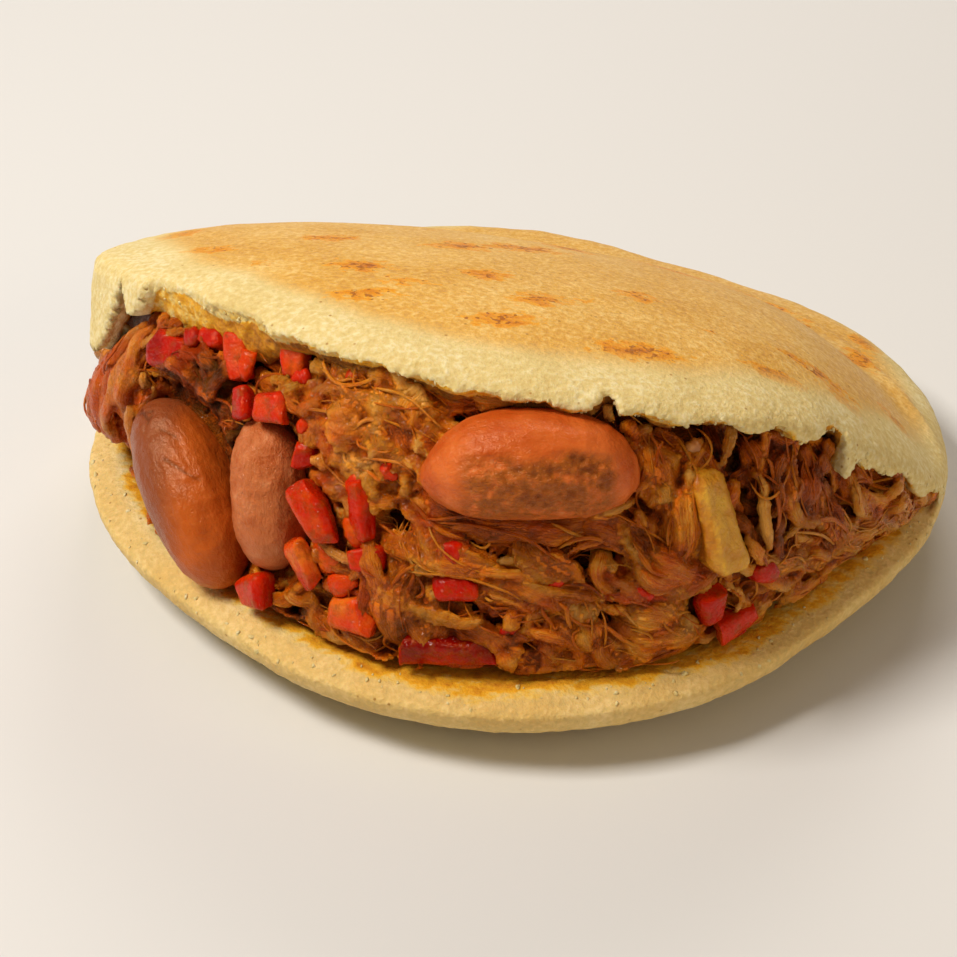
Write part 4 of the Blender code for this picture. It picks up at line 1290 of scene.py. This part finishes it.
def peppers():
    """Diced pepper: each die has flat cuts, red skin on one side and paler flesh on the other."""
    material = red_pepper()
    for node in sorted(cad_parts):
        if not node.startswith("pepper"):
            continue
        seed = int(node[-2:])
        draw = random.Random(seed)
        piece = copied(node, node + "_flesh", 0, 0.3 * MM)
        points, out = coordinates(piece.data), normals(piece.data)
        middle = points.mean(axis=0)
        off = points - middle
        span = np.ptp(off, axis=0)
        skew = np.array(TAPERS.get(node, [draw.uniform(-DIE_SKEW, DIE_SKEW) for _ in range(3)]))
        shrink = 1 + (off / span) @ skew
        off = off * shrink[:, None]
        for _ in range(PEPPER_FACETS):
            way = any_way(draw)
            along = off @ way
            past = np.maximum(along - draw.uniform(0.6, 0.85) * along.max(), 0)
            off = off - way * past[:, None]
        points = middle + off
        shove = 0.16 * grain(points, 3 * MM, seed) + 0.07 * grain(points, 1.0 * MM, seed + 40) + 0.1
        place(piece.data, pushed(points, out, shove))
        flesh = ORANGE_PEPPERS.get(node, draw.uniform(0.0, 0.2))
        inside = smooth_step(0.1, 0.6, normals(piece.data) @ any_way(draw))
        paint(piece.data, "tone", flesh + 0.2 * inside + 0.2 * grain(points, 4 * MM, seed + 9))
        finish_piece(piece, material, "pepper", node)


def potato():
    """The wedge, which narrows upwards and leans to the left, with mealy flesh on its right side."""
    piece = copied("potato_wedge", "potato_wedge_flesh", 1, 0.36 * MM)
    points, out = coordinates(piece.data), normals(piece.data)
    upright = points * np.array((1, 1, 0.3))
    shove = 0.3 * grain(points, 3.5 * MM, 61) + 0.2 * grain(upright, 1.2 * MM, 62)
    shove += 0.14 * grain(points, 0.7 * MM, 63)
    up = (points[:, 2] - points[:, 2].min()) / np.ptp(points[:, 2])
    middle = points[:, 0].mean()
    points = pushed(points, out, shove)
    points[:, 0] = middle + (points[:, 0] - middle) * (1.05 - 0.3 * up) + (0.3 - 3.0 * up) * MM
    place(piece.data, points)
    right_side = out @ np.array((0.9, -0.3, 0.1)) + 0.2 * grain(points, 2 * MM, 64)
    paint(piece.data, "pale", smooth_step(0.05, 0.5, right_side))
    finish_piece(piece, boiled_potato(), "potato", "potato_wedge")


# Small scraps on the heap: direction, height share, depth, turn, length, width and, for pepper, how orange.
PEPPER_SCRAPS = (
    (243, 0.34, -1.0, -40, 6.5, 4.0, 0.50), (246, 0.25, -1.2, 20, 5.0, 3.5, 0.42),
    (241, 0.46, -0.6, 70, 5, 3, 0.45), (247, 0.60, -0.8, 30, 3.5, 2.5, 0.35),
    (244, 0.92, -0.6, 10, 4, 2.6, 0.30), (238, 0.74, -0.6, 50, 3, 2, 0.35),
    (273, 0.40, -1.0, 20, 3, 2, 0.30), (284, 0.36, -0.8, -30, 3.5, 2, 0.25),
    (300, 0.00, -0.6, 20, 5, 3, 0.35), (215, 0.84, -0.8, 30, 3, 2.4, 0.05),
    (226, 0.88, -0.8, 80, 5, 3, 0.4), (230, 0.70, -0.8, 60, 4, 2.6, 0.35),
    (251, 0.66, -0.8, -20, 2.6, 2, 0.3), (236, 0.88, -0.7, 15, 3.2, 2.4, 0.2),
    (268, 0.20, -0.8, 35, 2.6, 1.8, 0.2), (247, 0.44, -0.6, -60, 5, 2.4, 0.5),
)
ONION_SCRAPS = ((289, 0.90, 0.4, 30, 3.0, 1.8), (244, 0.80, -0.3, 80, 2.4, 1.4))


def scraps():
    """Scraps of pepper and onion too small for solids of their own."""
    draw = random.Random(81)
    pepper, onion = Strands(14, 12), Strands(14, 12)
    for direction, height, inset, turn, length, width, orange in PEPPER_SCRAPS:
        path = curved_path(turn, draw.uniform(-20, 20), length, inset, 0.8)
        pepper.add(direction, height, path, width, 1.5, orange, 0.3, draw.randrange(SEEDS))
    for direction, height, inset, turn, length, width in ONION_SCRAPS:
        path = curved_path(turn, draw.uniform(-60, 60), length, inset, 0.8)
        onion.add(direction, height, path, width, 1.1, 0.5, 0.5, draw.randrange(SEEDS))
    mesh = pepper.mesh("pepper_scraps")
    paint(mesh, "tone", np.concatenate(pepper.marks)[:, 0])
    finish_piece(link("pepper_scraps", mesh), bpy.data.materials["cooked sweet pepper"], "pepper")
    finish_piece(link("onion_scraps", onion.mesh("onion_scraps")), cooked_onion(), "potato")


# Materials.


def add(tree, kind, inputs=None, stops=None, output=0, **settings):
    """Adds a node, fills its inputs with values or other nodes' outputs, and gives one of its outputs."""
    made = tree.nodes.new("ShaderNode" + kind)
    for key, value in settings.items():
        setattr(made, key, value)
    for key, value in (inputs or {}).items():
        if isinstance(value, bpy.types.NodeSocket):
            tree.links.new(value, made.inputs[key])
        else:
            made.inputs[key].default_value = value
    if stops:
        elements = made.color_ramp.elements
        while len(elements) < len(stops):
            elements.new(0.5)
        for element, (at, colour) in zip(elements, stops):
            element.position = at
            element.color = linear(colour)
    return made.outputs[output]


def new_material(name, **sockets):
    """A material with its one shader: uniform values are set on the shader itself."""
    material = bpy.data.materials.new(name)
    material.use_nodes = True
    tree = material.node_tree
    shader = tree.nodes["Principled BSDF"]
    for key, value in sockets.items():
        shader.inputs[key.replace("_", " ")].default_value = value
    return material, tree, shader


def per_mm(size):
    """The scale of a pattern on Object coordinates whose features are this many mm across."""
    return 1000 / size


def corn_bread():
    """Cooked maize dough: matt, a little translucent, pale yellow inside, with a dry tan griddled skin."""
    material, tree, shader = new_material(
        "griddled corn bread", Subsurface_Weight=0.2, Subsurface_Scale=0.002,
        Subsurface_Radius=(1.0, 0.7, 0.32), Specular_IOR_Level=0.2, Specular_Tint=linear("FFDC98"),
    )
    where = add(tree, "TexCoord", output="Object")
    marks = {
        name: add(tree, "Attribute", output="Fac", attribute_name=name)
        for name in ("griddle", "spot", "torn", "sauce")
    }
    wide = add(tree, "TexNoise", {"Vector": where, "Scale": per_mm(12), "Detail": 3})
    fine = add(tree, "TexNoise", {"Vector": where, "Scale": per_mm(0.9), "Detail": 4, "Roughness": 0.6})
    grit = add(tree, "TexNoise", {"Vector": where, "Scale": per_mm(0.5), "Detail": 3})
    uneven = add(tree, "Math", {0: wide, 1: 0.4, 2: fine}, operation="MULTIPLY_ADD")

    crumb = add(tree, "ValToRGB", {"Fac": uneven}, [(0.42, "CFB472"), (0.70, "DFCA8C"), (0.98, "F0E6BC")])
    skin = add(tree, "ValToRGB", {"Fac": uneven}, [(0.46, "C88C32"), (0.68, "DCA94C"), (0.94, "EECB80")])
    # The griddle mark also carries the painted shade of the lower rim, which turns the colour there towards
    # the skin's.
    dry = add(tree, "Math", {0: fine, 1: 0.5}, operation="SUBTRACT")
    dry = add(tree, "Math", {0: dry, 1: 1.2, 2: marks["griddle"]}, operation="MULTIPLY_ADD")
    dry = add(tree, "MapRange", {"Value": dry, "From Min": 0.15, "From Max": 0.9})
    base = add(tree, "Mix", {0: dry, 6: crumb, 7: skin}, output=2, data_type="RGBA")

    speck = add(tree, "TexVoronoi", {"Vector": where, "Scale": per_mm(3.0), "Randomness": 1.0})
    speck = add(
        tree, "MapRange", {"Value": speck, "From Min": 0.05, "From Max": 0.09, "To Min": 0.7, "To Max": 0.0}
    )
    base = add(tree, "Mix", {0: speck, 6: base, 7: linear("A06A22")}, output=2, data_type="RGBA")

    streaky = add(tree, "Mapping", {"Vector": where, "Scale": (0.75, 1.1, 1.0)})
    blotch = add(tree, "TexNoise", {"Vector": streaky, "Scale": per_mm(1.6), "Detail": 3, "Roughness": 0.6})
    blotch = add(tree, "Math", {0: blotch, 1: 0.5}, operation="SUBTRACT")
    toast = add(tree, "Math", {0: blotch, 1: 2.4, 2: marks["spot"]}, operation="MULTIPLY_ADD")
    brown = add(
        tree, "ValToRGB", {"Fac": toast},
        [(0.0, "E8AA38"), (0.35, "E0941A"), (0.75, "D07E08"), (1.0, "B46404")],
    )
    fleck = add(tree, "TexNoise", {"Vector": where, "Scale": per_mm(0.9), "Detail": 2})
    fleck = add(tree, "Math", {0: marks["spot"], 1: 0.16, 2: fleck}, operation="MULTIPLY_ADD")
    fleck = add(tree, "MapRange", {"Value": fleck, "From Min": 0.62, "From Max": 0.68, "To Max": 0.75})
    brown = add(tree, "Mix", {0: fleck, 6: brown, 7: linear("8E4A06")}, output=2, data_type="RGBA")
    spotted = add(tree, "MapRange", {"Value": toast, "From Min": 0.0, "From Max": 0.08})
    spotted = add(tree, "Math", {0: spotted, 1: marks["griddle"]}, operation="MULTIPLY")
    base = add(tree, "Mix", {0: spotted, 6: base, 7: brown}, output=2, data_type="RGBA")

    # The sauce mark is a real stain on the lower lip; inside and under the upper lip it is partly painted
    # shade.
    soak = add(tree, "Math", {0: blotch, 1: 1.4, 2: marks["sauce"]}, operation="MULTIPLY_ADD")
    sauce = add(
        tree, "ValToRGB", {"Fac": soak},
        [(0.0, "EEC444"), (0.35, "E4A41C"), (0.7, "C47C10"), (1.0, "7E4808")],
    )
    soaked = add(tree, "MapRange", {"Value": soak, "From Min": -0.1, "From Max": 0.3, "To Max": 0.95})
    base = add(tree, "Mix", {0: soaked, 6: base, 7: sauce}, output=2, data_type="RGBA")
    tree.links.new(base, shader.inputs["Base Color"])

    rough = add(
        tree, "MapRange", {"Value": grit, "From Min": 0.35, "From Max": 0.65, "To Min": 0.34, "To Max": 0.6}
    )
    rough = add(tree, "Mix", {0: marks["griddle"], 2: 0.72, 3: rough}, data_type="FLOAT")
    rough = add(tree, "Mix", {0: soaked, 2: rough, 3: 0.28}, data_type="FLOAT")
    tree.links.new(rough, shader.inputs["Roughness"])

    height = add(tree, "Math", {0: grit, 1: 0.5, 2: fine}, operation="MULTIPLY_ADD")
    strength = add(tree, "MapRange", {"Value": marks["torn"], "To Min": 0.5, "To Max": 0.55})
    bump = add(tree, "Bump", {"Height": height, "Strength": strength, "Distance": 0.0006})
    tree.links.new(bump, shader.inputs["Normal"])
    return material


def braised_beef():
    """Beef braised until it falls into fibres, coated with an oily orange-brown sauce that glints."""
    material, tree, shader = new_material(
        "braised beef", Subsurface_Weight=0.05, Subsurface_Scale=0.001, Subsurface_Radius=(1.0, 0.35, 0.1),
        Coat_Roughness=0.05, Specular_IOR_Level=0.5, Specular_Tint=linear("FFB468"),
    )
    where = add(tree, "TexCoord", output="Object")
    marks = add(tree, "Attribute", output="Vector", attribute_name="marks")
    marks = add(tree, "SeparateXYZ", {"Vector": marks}).node.outputs
    lie = add(tree, "Attribute", output="Vector", attribute_name="fibre")
    lie = add(tree, "Mapping", {"Vector": lie, "Scale": (0.2, 2.4, 2.4)})
    strand = add(tree, "TexNoise", {"Vector": lie, "Scale": 1.7, "Detail": 4, "Roughness": 0.6})
    sleek = add(tree, "Math", {0: marks[2]}, operation="ABSOLUTE")
    sleek = add(tree, "Math", {0: sleek, 1: -0.5, 2: 1.0}, operation="MULTIPLY_ADD")
    strand = add(tree, "Math", {0: strand, 1: 0.5}, operation="SUBTRACT")
    strand = add(tree, "Math", {0: strand, 1: sleek}, operation="MULTIPLY")
    patch = add(tree, "TexNoise", {"Vector": where, "Scale": per_mm(3.4), "Detail": 2})
    grit = add(tree, "TexNoise", {"Vector": where, "Scale": per_mm(0.5), "Detail": 3, "Roughness": 0.6})

    # The tone, the first of the marks, carries the painted shade of the gaps and the painted light of the
    # ridges.
    mixed = add(tree, "Math", {0: strand, 1: marks[0]}, operation="ADD")
    mixed = add(tree, "Math", {0: patch, 1: 0.8, 2: mixed}, operation="MULTIPLY_ADD")
    mixed = add(tree, "Math", {0: mixed, 1: 0.3}, operation="SUBTRACT")
    colour = add(
        tree, "ValToRGB", {"Fac": mixed},
        [(0.0, "1C0600"), (0.2, "6A2600"), (0.42, "B84E00"), (0.62, "DC7002"), (0.82, "E89220"),
         (1.0, "EAA84A")],
    )
    apart = add(tree, "Mapping", {"Vector": lie, "Scale": (0.5, 0.07, 0.07)})
    olive = add(tree, "TexNoise", {"Vector": apart, "Scale": 1.0, "Detail": 1})
    olive = add(tree, "MapRange", {"Value": olive, "From Min": 0.52, "From Max": 0.66, "To Max": 0.35})
    colour = add(tree, "Mix", {0: olive, 6: colour, 7: linear("7A4A04")}, output=2, data_type="RGBA")
    red = add(tree, "TexNoise", {"Vector": where, "Scale": per_mm(5), "Detail": 3})
    red = add(tree, "Math", {0: marks[1], 1: 0.42, 2: red}, operation="MULTIPLY_ADD")
    red = add(tree, "MapRange", {"Value": red, "From Min": 0.56, "From Max": 0.95, "To Max": 0.75})
    colour = add(tree, "Mix", {0: red, 6: colour, 7: linear("C03C04")}, output=2, data_type="RGBA")
    tree.links.new(colour, shader.inputs["Base Color"])
    rough = add(
        tree, "MapRange", {"Value": grit, "From Min": 0.3, "From Max": 0.7, "To Min": 0.2, "To Max": 0.5}
    )
    tree.links.new(rough, shader.inputs["Roughness"])
    height = add(tree, "Math", {0: grit, 1: 0.5, 2: strand}, operation="MULTIPLY_ADD")
    bump = add(tree, "Bump", {"Height": height, "Strength": 0.9, "Distance": 0.0007})
    tree.links.new(bump, shader.inputs["Normal"])
    wet = add(tree, "MapRange", {"Value": marks[0], "From Min": -0.1, "From Max": 0.5, "To Max": 0.3})
    tree.links.new(wet, shader.inputs["Coat Weight"])
    film = add(tree, "TexNoise", {"Vector": where, "Scale": per_mm(0.9), "Detail": 2})
    film = add(tree, "Bump", {"Height": film, "Strength": 0.9, "Distance": 0.001})
    tree.links.new(film, shader.inputs["Coat Normal"])
    return material


SKINS = {
    "sausage_left": ("C8601C", "AC4C12", "94502C", "AC4C12", 0.0),
    "sausage_middle": ("CC7644", "B65A28", "C26A38", "B65A28", 0.0),
    "sausage_right": ("D86C2A", "BE5016", "AC5A18", "8E420C", 0.2),
}


def sausage_skin(node):
    """Smoked sausage: a fine-wrinkled satin casing, and where it is cut, grainy meat with pale bits."""
    pale, deep, cut_colour, cut_dark, browned = SKINS[node]
    material, tree, shader = new_material(
        "smoked sausage, " + node.split("_")[1], Subsurface_Weight=0.25, Subsurface_Scale=0.0018,
        Subsurface_Radius=(1.0, 0.35, 0.15), Coat_Weight=0.14, Coat_Roughness=0.12, Specular_IOR_Level=0.45,
        Specular_Tint=linear("FFC890"),
    )
    where = add(tree, "TexCoord", output="Object")
    cut = add(tree, "Attribute", output="Fac", attribute_name="cut")
    lie = add(tree, "Attribute", output="Vector", attribute_name="lie")
    patch = add(tree, "TexNoise", {"Vector": where, "Scale": per_mm(5), "Detail": 4})
    grit = add(tree, "TexNoise", {"Vector": where, "Scale": per_mm(0.55), "Detail": 3, "Roughness": 0.6})
    bits = add(tree, "TexNoise", {"Vector": where, "Scale": per_mm(2.4), "Detail": 4})
    stretched = add(tree, "Mapping", {"Vector": lie, "Scale": (0.5, 1, 1)})
    wrinkle = add(
        tree, "TexNoise",
        {"Vector": stretched, "Scale": 1.4, "Detail": 4, "Roughness": 0.65, "Distortion": 0.6},
    )

    skin = add(tree, "ValToRGB", {"Fac": patch}, [(0.35, deep), (0.65, pale)])
    meat = add(
        tree, "ValToRGB", {"Fac": bits},
        [(0.36, cut_dark), (0.5, cut_colour), (0.66, pale), (0.78, "DCA070")],
    )
    brown = add(tree, "MapRange", {"Value": patch, "From Min": 0.5, "From Max": 0.62, "To Max": browned})
    meat = add(tree, "Mix", {0: brown, 6: meat, 7: linear("8E4A12")}, output=2, data_type="RGBA")
    colour = add(tree, "Mix", {0: cut, 6: skin, 7: meat}, output=2, data_type="RGBA")
    shade = add(tree, "Attribute", output="Fac", attribute_name="shade")
    colour = add(tree, "Mix", {0: shade, 6: colour, 7: linear("8C4420")}, output=2, data_type="RGBA")
    # Painted shade: the colour is darkened in the creases, beside their real dent.
    creased_with_painted_shade = add(tree, "Attribute", output="Fac", attribute_name="creased_with_painted_shade")
    creased_with_painted_shade = add(tree, "MapRange", {"Value": creased_with_painted_shade, "From Min": 0.03, "From Max": 0.16, "To Max": 0.6})
    colour = add(tree, "Mix", {0: creased_with_painted_shade, 6: colour, 7: linear("4A1E08")}, output=2, data_type="RGBA")
    tree.links.new(colour, shader.inputs["Base Color"])
    rough = add(
        tree, "MapRange", {"Value": grit, "From Min": 0.3, "From Max": 0.7, "To Min": 0.26, "To Max": 0.46}
    )
    tree.links.new(rough, shader.inputs["Roughness"])
    fine = add(tree, "Math", {0: grit, 1: 0.5, 2: wrinkle}, operation="MULTIPLY_ADD")
    strength = add(tree, "MapRange", {"Value": cut, "To Min": 0.45, "To Max": 0.85})
    bump = add(tree, "Bump", {"Height": fine, "Strength": strength, "Distance": 0.0005})
    tree.links.new(bump, shader.inputs["Normal"])
    tree.links.new(bump, shader.inputs["Coat Normal"])
    return material


def red_pepper():
    """Sweet red pepper cooked soft: wet, translucent flesh, scarlet going to orange."""
    material, tree, shader = new_material(
        "cooked sweet pepper", Subsurface_Weight=0.4, Subsurface_Scale=0.0015,
        Subsurface_Radius=(1.0, 0.2, 0.06), Coat_Weight=0.25, Coat_Roughness=0.06, Specular_IOR_Level=0.3,
        Specular_Tint=linear("FF9858"),
    )
    where = add(tree, "TexCoord", output="Object")
    tone = add(tree, "Attribute", output="Fac", attribute_name="tone")
    patch = add(tree, "TexNoise", {"Vector": where, "Scale": per_mm(2.6), "Detail": 4})
    grit = add(tree, "TexNoise", {"Vector": where, "Scale": per_mm(0.5), "Detail": 3})
    mixed = add(tree, "Math", {0: patch, 1: 0.5, 2: tone}, operation="MULTIPLY_ADD")
    colour = add(
        tree, "ValToRGB", {"Fac": mixed},
        [(0.1, "7C0400"), (0.34, "B41000"), (0.55, "CC2602"), (0.78, "D44E08"), (1.0, "DE7C22")],
    )
    sauce = add(tree, "TexNoise", {"Vector": where, "Scale": per_mm(2.2), "Detail": 5, "Roughness": 0.65})
    sauce = add(tree, "MapRange", {"Value": sauce, "From Min": 0.5, "From Max": 0.64, "To Max": 0.65})
    colour = add(tree, "Mix", {0: sauce, 6: colour, 7: linear("8E3E06")}, output=2, data_type="RGBA")
    tree.links.new(colour, shader.inputs["Base Color"])
    rough = add(
        tree, "MapRange", {"Value": grit, "From Min": 0.3, "From Max": 0.7, "To Min": 0.16, "To Max": 0.38}
    )
    tree.links.new(rough, shader.inputs["Roughness"])
    bump = add(tree, "Bump", {"Height": grit, "Strength": 0.55, "Distance": 0.0003})
    tree.links.new(bump, shader.inputs["Normal"])
    film = add(tree, "TexNoise", {"Vector": where, "Scale": per_mm(1.1), "Detail": 2})
    film = add(tree, "Bump", {"Height": film, "Strength": 0.9, "Distance": 0.001})
    tree.links.new(film, shader.inputs["Coat Normal"])
    return material


def cooked_onion():
    """Onion cooked soft: pale golden, slippery and half clear."""
    material, tree, shader = new_material(
        "cooked onion", Subsurface_Weight=0.5, Subsurface_Scale=0.0015, Subsurface_Radius=(1.0, 0.7, 0.3),
        Coat_Weight=0.3, Coat_Roughness=0.1, Roughness=0.3,
    )
    where = add(tree, "TexCoord", output="Object")
    patch = add(tree, "TexNoise", {"Vector": where, "Scale": per_mm(2.5), "Detail": 4})
    colour = add(tree, "ValToRGB", {"Fac": patch}, [(0.35, "A85E14"), (0.65, "C88434")])
    tree.links.new(colour, shader.inputs["Base Color"])
    return material


def boiled_potato():
    """Potato cooked in the sauce: mealy golden flesh under a thin wet film."""
    material, tree, shader = new_material(
        "sauce-cooked potato", Subsurface_Weight=0.3, Subsurface_Scale=0.0018,
        Subsurface_Radius=(1.0, 0.55, 0.15), Coat_Weight=0.15, Coat_Roughness=0.2, Roughness=0.45,
        Specular_IOR_Level=0.35,
    )
    where = add(tree, "TexCoord", output="Object")
    patch = add(tree, "TexNoise", {"Vector": where, "Scale": per_mm(3.5), "Detail": 5})
    grit = add(tree, "TexNoise", {"Vector": where, "Scale": per_mm(0.6), "Detail": 3})
    colour = add(tree, "ValToRGB", {"Fac": patch}, [(0.32, "A05404"), (0.5, "C07408"), (0.68, "D69822")])
    pale = add(tree, "Attribute", output="Fac", attribute_name="pale")
    flesh = add(tree, "ValToRGB", {"Fac": patch}, [(0.35, "C8841A"), (0.65, "DEAA34")])
    colour = add(tree, "Mix", {0: pale, 6: colour, 7: flesh}, output=2, data_type="RGBA")
    tree.links.new(colour, shader.inputs["Base Color"])
    bump = add(tree, "Bump", {"Height": grit, "Strength": 0.7, "Distance": 0.0005})
    tree.links.new(bump, shader.inputs["Normal"])
    return material


# The studio.


def studio():
    """A pale paper floor and three soft lights: a key from the left, a wide fill, and one from behind."""
    bpy.ops.mesh.primitive_plane_add(size=6)
    floor = bpy.context.object
    floor.name = "studio_floor"
    floor.data.materials.append(new_material("matt paper", Base_Color=linear("DCDEE0"), Roughness=0.8)[0])

    softbox("key", (-0.42, -0.12, 0.63), 0.24, 5.3, "FFF6EA")
    softbox("fill", (0.60, -0.50, 0.35), 0.5, 1.4, "FFE0B4")
    softbox("rim", (0.10, 0.60, 0.50), 0.35, 2.0, "FFF4E8")
    world = bpy.data.worlds.new("studio")
    bpy.context.scene.world = world
    world.use_nodes = True
    world.node_tree.nodes["Background"].inputs["Color"].default_value = linear("FFF2E2")
    world.node_tree.nodes["Background"].inputs["Strength"].default_value = 0.2


def softbox(name, where, size, power, colour):
    """A square light that faces the object."""
    data = bpy.data.lights.new(name, "AREA")
    data.shape = "SQUARE"
    data.size = size
    data.energy = power
    data.color = linear(colour)[:3]
    light = bpy.data.objects.new(name, data)
    light.location = where
    light.rotation_euler = (TARGET - Vector(where)).to_track_quat("-Z", "Y").to_euler()
    bpy.context.scene.collection.objects.link(light)


def camera():
    """The photograph's view."""
    data = bpy.data.cameras.new("photo view")
    data.sensor_width = SENSOR
    data.lens = LENS
    data.shift_x, data.shift_y = SHIFT
    data.clip_start = 0.01
    view = bpy.data.objects.new("photo view", data)
    back = Vector((0, -math.cos(ELEVATION), math.sin(ELEVATION)))
    view.location = TARGET + back * DISTANCE
    view.rotation_euler = (-back).to_track_quat("-Z", "Y").to_euler()
    bpy.context.scene.collection.objects.link(view)
    bpy.context.scene.camera = view


def main():
    bread()
    beef()
    sausages()
    peppers()
    potato()
    scraps()
    studio()
    camera()
    bpy.context.scene.view_settings.view_transform = "Standard"
    bpy.context.view_layer.update()


main()
